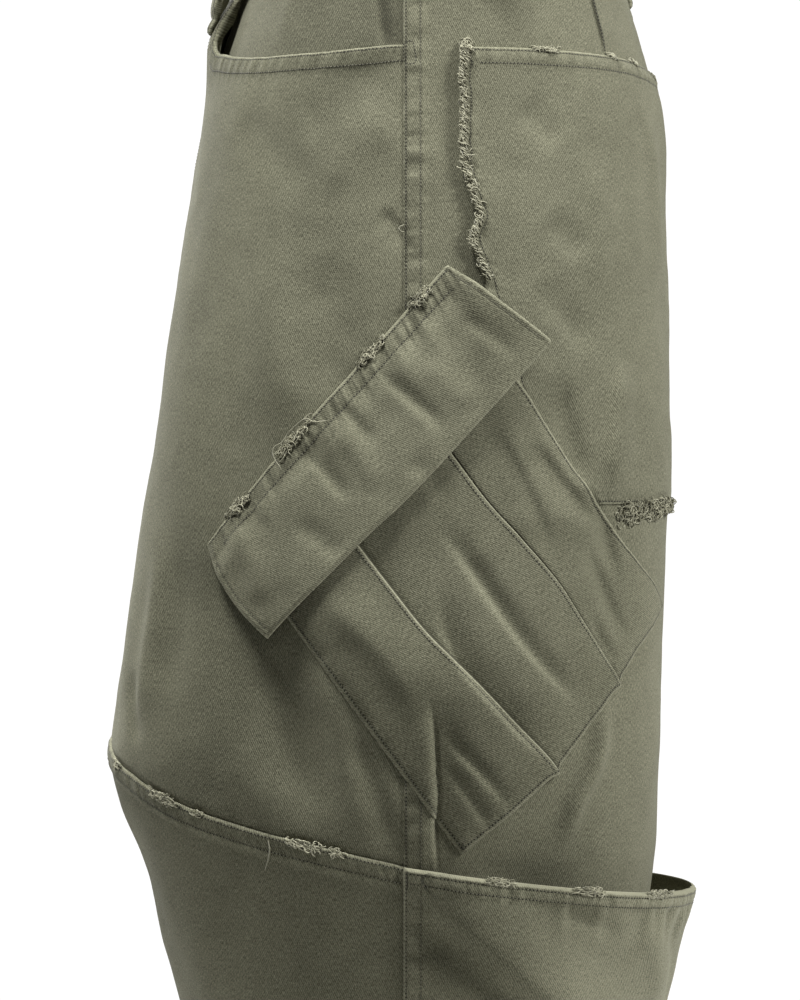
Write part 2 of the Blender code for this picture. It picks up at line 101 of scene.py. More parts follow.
BACK_POCKET = (
    # drop, front edge's arc, back edge's arc
    (84, 30, 206), (144, 33, 209), (192, 38, 212), (221, 44, 214), (328, 70, 218),
)
BACK_POCKET_DRAWN = (
    # drop, how far the raw front edge strays
    (84, -1), (107, -2.5), (128, -3.7), (152, -4.2), (170, -1), (178, 1), (191, -4.4), (204, -3),
    (221, -1.5), (240, 0), (328, 0),
)
BACK_POCKET_TOP = (89, 96)
BACK_POCKET_BOTTOM = 328

CARGO_CORNERS = ((-82, 357), (30, 235), (29, 506), (170, 381))
CARGO_PLEATS = ((0.305, 0.347), (0.720, 0.660))
PLEATS_DRAWN = (2.8, 2.0, 0)
PLEATS_OPEN_BY = 0.2
CARGO_SAG = (
    # share of the way down, how far the left edge, both pleats and the right edge hang to the left
    (0.00, 0, 0, 0, 0), (0.20, 0, 1.5, 1.5, 0.5), (0.35, 0, 3.5, 2.8, 5.5), (0.50, 0, 5, 1, 9.5),
    (0.66, 0, 2.3, -1, 12.5), (0.80, 0, 1, 0, 9.5), (0.95, 0, 0, 0, 2), (1.00, 0, 0, 0, 0),
)
CARGO_HITCH = (
    # bay, how far the bottom edge is hitched up
    (0, 0), (0.5, -1.5), (1, -1.7), (1.5, 2.2), (2, 4.5), (2.4, 6), (3, 0),
)
CARGO_CORNER = 1.8
FLAP_CORNERS = ((-107, 349), (22, 205), (-70, 397), (74, 246))
FLAP_LIFT = 3.6
FLAP_LIFTED_BY = 0.34
FLAP_SPRING = 2
STEP_MARGIN = 6
STEP_RUN = 16

BAND_LAP = 24
BAND_UNDER = 8
BAND_LAP_LIFT = 3.2
BAND_LAP_FLAT = 10
BAND_LAP_END = 25
SHIELD_RIGHT = -12
SHIELD_LEFT = 20
SHIELD_END = 192
SHIELD_SET_BACK = 1.5

LOOP_WIDTH = 10
LOOP_WALL = 2.4
LOOP_LENGTH = 66
LOOP_SEAT = 7
LOOP_CLEAR = 0.9
LOOP_FULLNESS = 0.7
LOOPS = (
    # name, side, counted from, distance towards the back, bow
    ("belt_loop_front_left", 1, "centre front", 32, 8.5),
    ("belt_loop_front_right", -1, "centre front", 32, 8.5),
    ("belt_loop_side_left", 1, "side seam", 42, 9.5),
    ("belt_loop_side_right", -1, "side seam", 42, 9.5),
)
BACK_LOOP_BOW = 9.5
BUTTON_PLACE = -8

FORM_TOP = -20
FORM_BOTTOM = 680
FORM_ROWS = FORM_BOTTOM - FORM_TOP
FORM_PLACES = 160
RING_STEPS = 720
KNEE_LEVEL = 470
WAYS = {"front": -1, "back": 1}

# ---- what the looks add ----

# How far apart the shells' points are, close together at the edges. The left side faces the camera
STEP = {1: 2.2, -1: 4.8}
EDGE_SHARE = 0.22
EDGE_GROWTH = 0.12
INNER_SKIP = 3
CREASE_STEP = 6

# Broad folds that the solids have too
FOLDS = (
    # start arc, start drop, end arc, end drop, width, height
    (-100, 380, -40, 470, 24, -4),
    (-30, 400, -20, 480, 20, 2.5),
    (60, 530, 190, 640, 26, -4),
    (-250, 330, -200, 440, 26, -3),
    (230, 330, 260, 450, 28, -3),
    (-180, 520, -120, 640, 26, -3),
)

# Creases of the left side (1), the right side (-1) and both (0): height, width towards the front or
# top side, width on the other side, the line as arcs and drops, and whether its start and end run
# out flat, which they do where nothing is said
CREASES = {
    1: (
        # cargo pocket
        (-2.6, 3.0, 6, (14, 338, 22, 346, 41, 372, 62, 400, 82, 421, 96, 436)),
        (-2.7, 2.5, 11, (17, 368, 23, 400, 49, 434, 76, 462)),
        (2.6, 8, 15, (-44, 372, -28, 388, -10, 405, 5, 427, 13, 438)),
        (-1.6, 2.5, 4.5, (18, 442, 28, 454, 41, 468, 56, 486)),
        (-1.4, 2.5, 4.5, (20, 460, 33, 478, 45, 496)),
        (-2.8, 8, 4, (92, 318, 110, 345, 118, 370)),
        (-2.6, 9, 4, (62, 294, 84, 321, 105, 341)),
        (-1.6, 7, 3.6, (44, 288, 54, 306, 63, 324, 76, 352)),
        (-2.0, 7, 3.6, (94, 346, 104, 363, 114, 382, 128, 400)),
        (-1.6, 5, 3.4, (100, 384, 108, 400, 118, 412)),
        # the crisp fold between the side seam and the pocket
        (-3.6, 1.5, 13, (12, 424, 15, 445, 16, 464, 17, 478, 16, 492, 17, 520)),
        (-1.6, 0.9, 1.1, (12, 424, 15, 445, 16, 464, 17, 478, 16, 492, 17, 520)),
        (1.6, 7, 4, (7, 426, 10, 445, 12, 473, 13, 518)),
        (4.4, 5, 5, (112, 426, 109, 440, 102, 465, 92, 480, 83, 507)),
        # front panel, low
        (-2.4, 8, 5, (-24, 438, -20, 455, -12, 481, -5, 511)),
        (2.0, 10, 9, (-50, 405, -39, 429, -32, 458, -24, 492)),
        (-2.8, 13, 11, (-72, 385, -66, 410, -59, 428, -48, 467, -44, 490)),
        (2.6, 8, 11, (-143, 345, -144, 372, -149, 409, -156, 450)),
        (-1.9, 6, 7, (-166, 412, -163, 430, -156, 456)),
        (-2.0, 14, 12, (-120, 330, -126, 380, -134, 440)),
        # front panel, high
        (-2.2, 14, 12, (-6, 94, -29, 112, -60, 142)),
        (1.8, 10, 12, (-4, 120, -23, 139, -44, 170)),
        (-2.0, 14, 12, (-108, 122, -70, 146, -38, 164)),
        (-1.4, 8, 3, (-14, 176, -7, 181, -1, 188), True, False),
        (1.8, 14, 14, (-90, 190, -70, 240, -66, 300)),
        (-1.8, 16, 14, (-44, 196, -36, 240, -46, 280)),
        # flap
        (-1.9, 3, 5, (-15, 256, -8, 265, 7, 279, 22, 294)),
        (-1.7, 3, 5, (-54, 298, -47, 306, -36, 318, -28, 330)),
        (-1.5, 3, 5, (-85, 323, -78, 334, -70, 346)),
        (-1.2, 5, 7, (0, 307, 8, 312, 20, 322)),
        (-1.3, 5, 7, (-58, 337, -46, 345, -30, 358)),
        (-1.5, 3, 6, (28, 232, 42, 243, 58, 256)),
        (-1.1, 3, 4, (-34, 276, -24, 288, -14, 300)),
        (1.3, 6, 7, (-36, 290, -24, 304, -12, 324)),
        (1.2, 6, 7, (6, 256, 20, 266, 34, 282)),
        (1.2, 6, 6, (-84, 350, -76, 364, -74, 382)),
        # back pocket and back panel
        (3.4, 5, 11, (124, 250, 116, 290, 113, 328)),
        (-3.6, 11, 7, (80, 258, 88, 292, 97, 322)),
        (-1.7, 8, 10, (60, 118, 70, 128, 84, 142)),
        (-1.6, 7, 9, (74, 180, 84, 188, 98, 200)),
        (-1.7, 7, 10, (66, 214, 84, 230, 100, 252)),
        (1.6, 9, 9, (150, 110, 168, 150, 176, 210)),
        (1.4, 9, 12, (100, 140, 110, 180, 108, 230)),
        # lower back pocket
        (5.2, 8, 22, (6, 520, 20, 532, 40, 549, 62, 568, 82, 590, 96, 612)),
        (-3.6, 11, 7, (2, 532, 18, 548, 38, 568, 58, 594)),
        (-1.6, 4, 6, (76, 536, 92, 540, 112, 549)),
        (1.8, 7, 9, (122, 540, 136, 560, 150, 590)),
        (-1.9, 8, 8, (140, 534, 160, 560, 172, 600)),
        (-1.0, 4, 4, (6, 552, 24, 556)),
        # back of the left leg and seat
        (-3.0, 10, 12, (250, 180, 235, 240, 240, 310)),
        (-2.8, 8, 9, (330, 320, 290, 350, 262, 390)),
        (2.1, 9, 9, (345, 345, 300, 378, 280, 420)),
        (-2.2, 8, 9, (270, 540, 250, 590, 258, 640)),
    ),
    -1: (
        (-2.8, 4, 7, (14, 340, 40, 372, 92, 436)),
        (-2.8, 4, 10, (22, 385, 60, 428, 84, 452)),
        (2.2, 8, 12, (-40, 378, -12, 410, 6, 430)),
        (-3.2, 2.6, 11, (8, 424, 13, 450, 15, 480, 15, 516), True, False),
        (2.2, 9, 9, (-58, 400, -44, 440, -34, 490)),
        (-2.6, 12, 10, (-84, 380, -78, 420, -66, 466)),
        (2.4, 9, 10, (-150, 340, -156, 385, -166, 432)),
        (-1.9, 12, 12, (-12, 98, -40, 120, -84, 150)),
        (1.7, 12, 12, (-100, 180, -80, 236, -74, 300)),
        (-2.3, 4, 6, (-20, 264, -8, 276, 6, 290)),
        (-2.2, 4, 6, (-66, 312, -56, 324, -46, 338)),
        (-2.4, 9, 9, (84, 262, 92, 300, 96, 322)),
        (1.9, 7, 7, (124, 250, 118, 300, 110, 324)),
        (3.6, 8, 16, (18, 532, 50, 552, 84, 584, 98, 604)),
        (-2.0, 8, 8, (150, 534, 170, 570, 178, 610)),
        (-3.0, 11, 11, (256, 190, 238, 250, 246, 310)),
        (-2.5, 8, 9, (338, 318, 296, 352, 268, 396)),
    ),
    0: (
        # from the crotch and the inseam
        (-3.2, 7, 10, (-300, 296, -262, 288, -214, 292), False, True),
        (-2.7, 7, 9, (-352, 318, -300, 330, -250, 352), False, True),
        (2.2, 8, 9, (-330, 306, -280, 310, -226, 324), False, True),
        (-2.4, 9, 10, (-330, 470, -280, 500, -250, 560)),
        (-3.0, 8, 10, (310, 292, 270, 276, 226, 268), False, True),
        (2.1, 8, 9, (330, 306, 286, 296, 240, 292), False, True),
    ),
}

# Seams: rows of stitches from the edge, puff between them, pucker and how far apart the puckers
# are, how far the edge rounds over, how dark the strip between the rows is painted as shade, and
# how dark the needle holes of each row are painted as shade
STYLES = {
    "felled": ((0.9, 8.4), 0.35, 0.50, 9.0, 0.35, 0.05, (2.0, 0.5)),
    "mouth": ((1.7, 9.6), 0.55, 0.38, 6.0, 0.60, 0.10, (1.8, 1.2)),
    "knee": ((1.5, 8.6), 0.45, 0.34, 6.0, 0.45, 0.08, (1.8, 1.2)),
    "rim": ((2.4, 7.4), 0.80, 0.36, 5.0, 0.80, 0.0, (2.0, 1.7)),
    "edge": ((1.9,), 0.20, 0.24, 5.0, 0.50, 0.0, (1.8,)),
    "flap_edge": ((3.2,), 0.05, 0.12, 8.0, 0.55, 0.0, (0.4,)),
    "flap_free": ((), 0.0, 0.0, 6.0, 0.60, 0.0, ()),
    "flap_sewn": ((1.7, 10.4), 0.30, 0.55, 4.8, 0.50, 0.26, (2.6, 2.4)),
    "patch_top": ((1.9, 9.6), 0.40, 0.30, 6.0, 0.60, 0.08, (1.8, 1.6)),
    "raw": ((5.5,), 0.10, 0.30, 6.0, 0.50, 0.0, (1.0,)),
    "raw_end": ((1.2,), 0.10, 0.30, 6.0, 0.50, 0.0, (1.5,)),
    "hem": ((2.0, 19.0), 0.35, 0.30, 7.0, 0.55, 0.05, (1.5, 1.3)),
    "band": ((2.0,), 0.30, 0.20, 6.0, 0.60, 0.0, (1.5,)),
    "bound": ((1.3,), 0.10, 0.10, 5.0, 0.60, 0.0, (1.2,)),
    "plain": ((), 0.0, 0.0, 6.0, 0.40, 0.0, ()),
    "tucked": ((), 0.0, 0.0, 6.0, 0.0, 0.0, ()),
}
THROUGH_SEAMS = ("felled", "hem", "knee", "rim", "mouth")
# The edge rounds over and is painted paler, both as rubbed wear and as a highlight where it rounds
EDGE_ROUND = 1.5
EDGE_BULGE = 0.4
EDGE_WEAR_AND_HIGHLIGHT = 0.55
EDGE_WEAR_AND_HIGHLIGHT_REACH = (0.4, 1.6)
# Each row of stitches lies in a furrow, and the furrow is painted darker as shade
FURROW = 0.30
FURROW_WIDTH = 0.75
FURROW_SHADE = 0.30
FURROW_SHADE_WIDTH = 0.7
# The cloth ripples between its rows: share, squash and size of each ripple
RIPPLES = ((1, 0.25, 4.2), (0.6, 0.2, 9))
PUCKER_MIDDLE = 0.62
PUCKER_SHARE = 0.5
PUCKER_REACH = 2.4
PUCKER_START = (0.3, 1.8)
# The ripples' crests are painted lighter and their hollows darker, as light and shade
PUCKER_SHADING = 0.12
MOST_PUCKER = 0.5

# The cloth's own unevenness: height, size of its spots and how they are squashed. Folds and
# unevenness die out at the centre line, the inseam and the waist
UNEVEN = ((1.1, 46, 0.7), (0.42, 19, 0.8), (0.13, 8, 1))
UNEVEN_SEED = {1: 11, -1: 23}
CALM_EDGE = 22
CALM_WAIST = (36, 62)
MOTTLE_TURN = (0.83, 0.56)
TINY = 1e-9

# Stitches, and how dark their needle holes are painted as shade
STITCH_PITCH = 1.95
HOLE = 1.4

# Seams that lie over or under their neighbours
SEAM_RISE = 0.8
SEAM_DIP = 0.9
SEAM_LAP = 1.2
SEAM_DIP_REACH = (0.5, 6)
SEAM_BAND = (9.5, 13.0)
SIDE_LAP = 0.4
SIDE_LAP_RUN = 6
SIDE_RISE = 0.5
SIDE_DIP = 0.25
SIDE_DIP_REACH = 5
NEARLY = 0.01
CENTRE_LAP = 0.6
CROTCH_LAP = 2.4
CROTCH_LAP_DROPS = (150, 290)
CENTRE_STEP = 0.3
CENTRE_STEP_REACH = 5
# Where a patch rises over the side seam, and where it comes down again
PATCH_RISE = (-12, 2)
PATCH_FALL = (9, 24)

# ---- how each piece is drawn ----

# Rough spans across and depths of the pieces, which say how many points they get
PANEL_SPAN = 300
LOWER_SPAN = 340
LOWER_FRONT_DEPTH = 160
LOWER_BACK_DEPTH = 150
FACING_SPAN, FACING_DEPTH = 180, 65
BACK_POCKET_SPAN, BACK_POCKET_DEPTH = 176, 236
BAY_SPAN, CARGO_DEPTH = 62, 190
FLAP_SPAN, FLAP_DEPTH = 192, 62
SHIELD_DEPTH = 150
# Steps of the cargo pocket's bays and the flap, as shares of the usual step
BAY_CLOSER = {1: 0.55, -1: 0.75}
FLAP_CLOSER = 0.8
# Steps across and down
BAND_STEPS = (4.0, 2.4)
SHIELD_STEPS = (3.0, 4.0)
LOOP_STEPS = (1.2, 1.6)
# Where points lie closer together: from, to and step. On the back panel, at the fold by the side
# seam and at the dart. On the cargo pocket, low down
BACK_FINER = ((7, 22, 0.8), (148, 168, 1.0))
CARGO_FINER = (120, 185, 1.3)

# What finishes each piece's left, right, top and bottom edge
EDGES = {
    "front": "plain tucked mouth tucked",
    "back": "felled felled plain hem",
    "pocket_facing": "plain plain plain plain",
    "lower_front": "plain tucked knee hem",
    "lower_back": "felled felled rim hem",
    "back_pocket": "raw edge patch_top raw_end",
    "cargo_pocket": "edge edge plain edge",
    "cargo_flap": "flap_edge flap_edge flap_sewn flap_free",
    "waistband": "band band band band",
    "fly_shield": "edge edge plain edge",
    "belt_loop": "bound bound bound bound",
}

# Painted light and shade of each piece: all over, then spots as arc, drop, squash down, reach and
# tone, then parts that fade in from one arc and drop to another, with their tone
PAINTED_LIGHT_AND_SHADE = {
    "front": (
        0, ((-92, 405, 0.8, 46, -0.26), (-50, 452, 0.8, 40, 0.20)),
        (((-92, -135), (420, 300), -0.26),),
    ),
    "back": (0, (), (((80, 140), (380, 440), 0.10),)),
    "pocket_facing": (-0.20, (), ()),
    "lower_back": (0.46, ((29, 552, 1, 34, -0.70),), ()),
    "cargo_pocket": (0, ((44, 367, 1, 34, 0.28), (35, 462, 1, 34, -0.20)), ()),
    "cargo_flap": (0.17, ((44, 238, 1, 26, -0.45),), ()),
}
# Painted shade in the pocket facing's fold
FACING_FOLD_SHADE = 0.28
# Painted highlight along the lower back pocket's rim edge, and painted light and shade on its ribs
RIM_HIGHLIGHT = 0.40
RIM_EDGE = (0.9, 2.6)
RIM_RIB_SHADING = 0.20

# Ribs below a gathered seam: height, where they start, middle and reach, then two noises with
# their share, squash down, size and seed
GATHERS = {
    "lower_back": (1.2, (6, 10), 9, 15, (1, 0.10, 3.4, 311), (1, 0.08, 6.5, 312)),
    "cargo_flap": (1.25, (8, 13), 10, 15, (1, 0.10, 8.5, 301), (0.5, 0.12, 5, 302)),
}
RIM_RIB_ARCS = (20, 90)
# Share of the side seam's height that the lower back pocket shows
LOWER_BACK_BAND = 0.7

# Rows of stitches down the front: distance from the centre, drop of the outer and the inner row
FLY_STITCHES = ((34, 60, 60), (34, 110, 110), (31, 150, 147), (20, 172, 165), (4, 182, 174))
FLY_ROWS_APART = 6
BAR_TACK = ((4.5, 86), (1.0, 86), (1.0, 98), (4.5, 98), (4.5, 86))
# The buttonhole's ends and its tack, and the bars that hold a belt loop
BUTTONHOLE = (BUTTON_PLACE - 4, BUTTON_PLACE + 17, BUTTON_PLACE + 17.6)
LOOP_BARS = (4, 5.2)
# The side loops are this much shorter than their solids, so they end above what the photo shows
SIDE_LOOP_DRAWN = 0.93

# The dart's line, its step and its painted shade, and creases of the facing: height, width on
# each side, and for the facing's the line. The facing's fold is also painted darker, as shade
DART = ((107, 34), (111, 50), (115, 66), (119, 82), (121, 94))
DART_STEP = (1.0, 0.8, 12)
DART_SHADE = (-1.6, 1.6, 0.8)
FACING_FOLD = (-2.6, 2.6, 4.5, (-14, 40, -13, 63, -11, 76, -7, 94))
FACING_RIDGE = (0.9, 6, 6, (-60, 44, -70, 60, -74, 84))

# How a patch lies down at its edges, and the raw edge that curls up on the back pocket
PATCH_GAP = 0.15
PATCH_EDGE = (0.5, 7)
PATCH_GRAIN = 40
BACK_POCKET_ARCH = 2.2
RAW_EDGE = 0.8
RAW_EDGE_REACH = 12
RAW_CURL = 2.2
RAW_CURL_CHANGE = 0.4
RAW_CURL_REACH = 3.8
RAW_CURL_START = 10

# Pleats of the cargo pocket, measured in bays, and the ways its lower edge sags and hitches up
BAYS = len(CARGO_PLEATS) + 1
PLEAT_FOLD = (
    # place across, in bays, height, and painted highlight on the fold's edge and shade under it
    (-0.010, 0.98, 0.6), (0.003, 0.60, 0.3), (-0.006, 0.05, -1.6), (0.022, 0.0, -1.0),
)
PLEAT_CLEAR = (0.022, 0.018)
PLEAT_ROUND = 1.8
# Painted highlight along each pleat's fold, and painted shade where the next bay comes out under it
PLEAT_HIGHLIGHT_AND_SHADE = 0.3
PLEAT_STITCHES = 0.036
PLEAT_STITCH_ENDS = (26, 3)
CARGO_CORNER_AT = 0.015
CARGO_CORNER_REACH = 0.06
SAG_WAY = (-0.70, 0.71)
HITCH_WAY = (0.69, 0.72)

# The flap bellies downwards, its front end bulges, and it has dents
FLAP_BELLY = 2.2
FLAP_WAVE = 1.1
FLAP_BELLY_WAY = (0.68, 0.73)
FLAP_BULGE = 4.5
FLAP_BULGE_ENDS = 0.45
FLAP_BULGE_WAY = (-0.75, 0.5)
FLAP_LIFT_START = 0.05
FLAP_DENTS = 0.8
FLAP_DENT_START = (8, 20)

# Slight waves of the waistband, full from this far past its lap, and dying out before its far end
BAND_WAVE = 0.25
BAND_WAVE_START = 60
BAND_WAVE_END = (20, 60)

# Flat sizes of the cut pieces, in metres: width, length and area
CUTS = {
    "front": (0.42, 0.47, 0.135),
    "back": (0.41, 0.64, 0.215),
    "pocket_facing": (0.18, 0.08, 0.012),
    "lower_front": (0.41, 0.25, 0.075),
    "lower_back": (0.40, 0.16, 0.055),
    "back_pocket": (0.19, 0.25, 0.042),
    "cargo_pocket": (0.21, 0.21, 0.036),
    "cargo_flap": (0.20, 0.066, 0.0125),
    "waistband": (0.86, 0.038, None),
    "fly_shield": (0.034, 0.16, None),
    "belt_loop": (0.010, 0.082, None),
}


# ---- places on the form, and its folds ----

def smooth_rows(table, stations):
    """Rows of a table read at any stations, on smooth curves through its first column."""
    table = np.array(table, dtype=float)
    knots = table[:, 0]
    values = table[:, 1:]
    slopes = np.gradient(values, knots, axis=0)
    stations = np.clip(np.ravel(stations), knots[0], knots[-1])
    left = np.clip(np.searchsorted(knots, stations, side="right") - 1, 0, len(knots) - 2)
    span = (knots[left + 1] - knots[left])[:, None]
    t = (stations - knots[left])[:, None] / span
    rows = (1 + 2 * t) * (1 - t) ** 2 * values[left]
    rows += t ** 2 * (3 - 2 * t) * values[left + 1]
    rows += t * (1 - t) ** 2 * span * slopes[left]
    rows += t ** 2 * (t - 1) * span * slopes[left + 1]
    return rows


def smooth(table, stations):
    """A table of two columns read at any stations, on a smooth curve."""
    return smooth_rows(table, stations).reshape(np.shape(stations))


def ring(front, back, outer, inner, middle, power):
    """Points round one leg's ring, from its inner side past the front, outer side and back."""
    angle = np.linspace(-np.pi, np.pi, RING_STEPS + 1)
    cosine, sine = np.cos(angle), np.sin(angle)
    depth = np.where(angle < 0, front + middle, back - middle)
    x = (outer + inner) / 2 + (outer - inner) / 2 * np.sign(cosine) * abs(cosine) ** (2 / power)
    y = middle + depth * np.sign(sine) * abs(sine) ** (2 / power)
    return x, y


def build_form():
    """The left leg's bare form: evenly spaced places from the side seam to the centre line."""
    half, quarter = RING_STEPS // 2, RING_STEPS // 4
    shares = np.linspace(0, 1, FORM_PLACES + 1)
    form = {"front": [], "back": [], "front_length": [], "back_length": []}
    for values in smooth_rows(SECTIONS, FORM_TOP + np.arange(FORM_ROWS + 1)):
        x, y = ring(*values)
        arc = np.concatenate([[0], np.cumsum(np.hypot(np.diff(x), np.diff(y)))])
        seam = np.interp(SEAM_Y, y[quarter:3 * quarter], arc[quarter:3 * quarter])
        ends = {
            "front": np.interp(0, x[:half + 1], arc[:half + 1]),
            "back": np.interp(0, x[half:][::-1], arc[half:][::-1]),
        }
        for way, end in ends.items():
            places = seam + shares * (end - seam)
            form[way].append(np.stack([np.interp(places, arc, x), np.interp(places, arc, y)], -1))
            form[way + "_length"].append(abs(end - seam))
    return {name: np.array(rows) for name, rows in form.items()}


FORM = build_form()


def between_rows(drop):
    """The form's row above each drop, and how far the drop lies towards the next row."""
    row = np.clip(drop - FORM_TOP, 0, FORM_ROWS - 1e-6)
    above = row.astype(int)
    return above, row - above


def length(way, drop):
    """Arc from the side seam to the centre line or inseam, front or back, at each drop."""
    above, mix = between_rows(np.asarray(drop, float))
    lengths = FORM[way + "_length"]
    return lengths[above] * (1 - mix) + lengths[above + 1] * mix


def on_form(arc, drop):
    """Points of the bare form, on the left leg. Past the centre line it goes straight on."""
    arc, drop = np.broadcast_arrays(np.asarray(arc, float), np.asarray(drop, float))
    above, mix = between_rows(drop)
    mix = mix[..., None]
    points = np.zeros(arc.shape + (3,))
    for way, chosen in (("front", arc < 0), ("back", arc >= 0)):
        place = abs(arc) / length(way, drop) * FORM_PLACES
        low = np.minimum(place.astype(int), FORM_PLACES - 1)
        part = (place - low)[..., None]
        spot = among(FORM[way], (above, above + 1), (low, low + 1), mix, part)
        points[..., :2] += np.where(chosen[..., None], spot, 0)
    points[..., 2] = -drop
    return points


def swell(points):
    """One on the form, and more outside it."""
    x, y, z = np.moveaxis(points, -1, 0)
    front, back, outer, inner, middle, power = smooth_rows(SECTIONS, -z).T.reshape((6,) + x.shape)
    across = abs(x - (outer + inner) / 2) / ((outer - inner) / 2)
    along = abs(y - middle) / np.where(y < middle, front + middle, back - middle)
    return across ** power + along ** power


def outwards(points):
    """Unit vectors straight out of the form."""
    steps = np.eye(3) * 0.5
    slope = np.stack([swell(points + step) - swell(points - step) for step in steps], -1)
    return unit(slope)


def blend(value, start, end):
    """Zero before start, one after end, and smooth between, whichever of them is greater."""
    share = np.clip((value - start) / (end - start), 0, 1)
    return share ** 2 * (3 - 2 * share)


def read(table, column, place):
    """One column of a table, read on straight lines against its first column."""
    table = np.array(table, dtype=float)
    return np.interp(place, table[:, 0], table[:, column])


def bump(value, width):
    return np.exp(-(value / width) ** 2)


def among(values, rows, columns, down, across):
    """Values of a grid read between two rows and two columns, at shares down and across."""
    upper, lower = (
        values[row, columns[0]] * (1 - across) + values[row, columns[1]] * across for row in rows
    )
    return upper * (1 - down) + lower * down


def unit(vectors, least=0):
    """Vectors of length one. A least length keeps empty ones from dividing by nothing."""
    return vectors / (np.linalg.norm(vectors, axis=-1, keepdims=True) + least)


def mottle(across, down, size, seed):
    """Smooth noise from -1 to 1, in spots of about the given size."""
    cells = 64
    cosine, sine = MOTTLE_TURN
    table = np.random.default_rng(seed).uniform(-1, 1, (cells, cells))
    turned = np.array((across * cosine + down * sine, down * cosine - across * sine)) / size
    corner = np.floor(turned).astype(int)
    part = turned - corner
    part = part ** 2 * (3 - 2 * part)
    i, j = corner % cells
    k, m = (corner + 1) % cells
    return among(table, (i, k), (j, m), *part)


def smooth_line(points, step):
    """A smooth line through points, as places about a step apart."""
    points = np.array(points, float).reshape(-1, 2)
    knots = np.concatenate([[0], np.cumsum(np.hypot(*np.diff(points, axis=0).T))])
    stations = np.linspace(0, knots[-1], max(3, int(knots[-1] / step) + 1))
    if len(points) < 3:
        return np.stack([np.interp(stations, knots, column) for column in points.T], -1)
    return smooth_rows(np.column_stack([knots, points]), stations)


def crease(arc, drop, height, front_width, back_width, line, start_flat=True, end_flat=True):
    """Height of one crease at each place."""
    line = smooth_line(line, CREASE_STEP)
    reach = 3 * max(front_width, back_width)
    low, high = line.min(0) - reach, line.max(0) + reach
    near = (arc > low[0]) & (arc < high[0]) & (drop > low[1]) & (drop < high[1])
    rise = np.zeros(arc.shape)
    if not near.any():
        return rise
    spots = np.stack([arc[near], drop[near]], -1)
    starts, runs = line[:-1], np.diff(line, axis=0)
    share = ((spots[:, None] - starts) * runs).sum(-1) / (runs ** 2).sum(-1)
    share = np.clip(share, 0, 1)
    gap = spots[:, None] - starts - share[..., None] * runs
    away = np.hypot(gap[..., 0], gap[..., 1])
    nearest = away.argmin(1)
    pick = np.arange(len(spots))
    turn = runs[nearest, 0] * gap[pick, nearest, 1] - runs[nearest, 1] * gap[pick, nearest, 0]
    along = (nearest + share[pick, nearest]) / len(runs)
    width = np.where(turn > 0, front_width, back_width)
    rise[near] = height * bump(away[pick, nearest], width)
    if start_flat:
        rise[near] *= blend(along, 0, 0.3)
    if end_flat:
        rise[near] *= 1 - blend(along, 0.7, 1)
    return rise


def relief(arc, drop, side):
    """Height of the folds and of the cloth's own unevenness above the form."""
    height = np.zeros(np.shape(arc))
    for start_arc, start_drop, end_arc, end_drop, width, peak in FOLDS:
        run, fall = end_arc - start_arc, end_drop - start_drop
        share = ((arc - start_arc) * run + (drop - start_drop) * fall) / (run ** 2 + fall ** 2)
        share = np.clip(share, 0, 1)
        away = np.hypot(arc - start_arc - share * run, drop - start_drop - share * fall)
        height += peak * bump(away, width)
    small = np.zeros(np.shape(arc))
    for shape in (*CREASES[side], *CREASES[0]):
        small += crease(arc, drop, *shape)
    for number, (rise, size, squash) in enumerate(UNEVEN):
        small += rise * mottle(arc, drop * squash, size, UNEVEN_SEED[side] + number)
    end = np.where(arc < 0, length("front", drop), length("back", drop))
    small *= blend(end - abs(arc), 0, CALM_EDGE) * blend(drop, *CALM_WAIST)
    return height + small


# ---- edges that pieces share ----

def waist_top(arc):
    return -WAIST_TILT * on_form(arc, np.zeros(np.shape(arc)))[..., 1]


def waist_seam(way, shares):
    arc = WAYS[way] * shares * length(way, np.full(np.shape(shares), BAND_HEIGHT))
    return waist_top(arc) + BAND_HEIGHT + SEAM_GAP


def front_top(shares):
    mouth_end = MOUTH[-1][0]
    mouth = smooth(MOUTH, np.clip(shares, 0, mouth_end))
    return np.where(shares < mouth_end, mouth, waist_seam("front", shares))


def knee_seam(shares):
    arcs = -shares * length("front", np.full(np.shape(shares), KNEE_LEVEL))
    return smooth(KNEE, arcs)


def rim_line(shares):
    arcs = shares * length("back", np.full(np.shape(shares), RIM[-1][1]))
    return smooth(RIM, arcs)


def mouth_gape(arc, drop):
    away = np.hypot(arc - MOUTH_GAPE_AT[0], drop - MOUTH_GAPE_AT[1])
    return MOUTH_GAPE * bump(away, MOUTH_GAPE_REACH)


def over_back_pocket(arc, drop):
    """Height that the back pocket gives what lies over it."""
    past_front = blend(read(BACK_POCKET, 1, drop) - arc, STEP_MARGIN, STEP_MARGIN + STEP_RUN)
    past_bottom = blend(drop - BACK_POCKET_BOTTOM, STEP_MARGIN, STEP_MARGIN + STEP_RUN)
    return (TWILL + LAYER_GAP) * (1 - past_front) * (1 - past_bottom)


def side_band(arc):
    """Height of the folded side seam: it stands up on the back panel, and the front dips to it."""
    raised = SIDE_RISE * (1 - blend(arc, *SEAM_BAND))
    dipped = -SIDE_DIP * (1 - blend(-arc, SIDE_LAP, SIDE_DIP_REACH))
    return np.where(arc > -SIDE_LAP - NEARLY, raised, dipped)


def under_patch(arc, drop):
    """Height of what a patch lies on."""
    seam = SEAM_RISE * blend(arc, *PATCH_RISE) * (1 - blend(arc, *PATCH_FALL))
    return seam + over_back_pocket(arc, drop)


# ---- grids ----

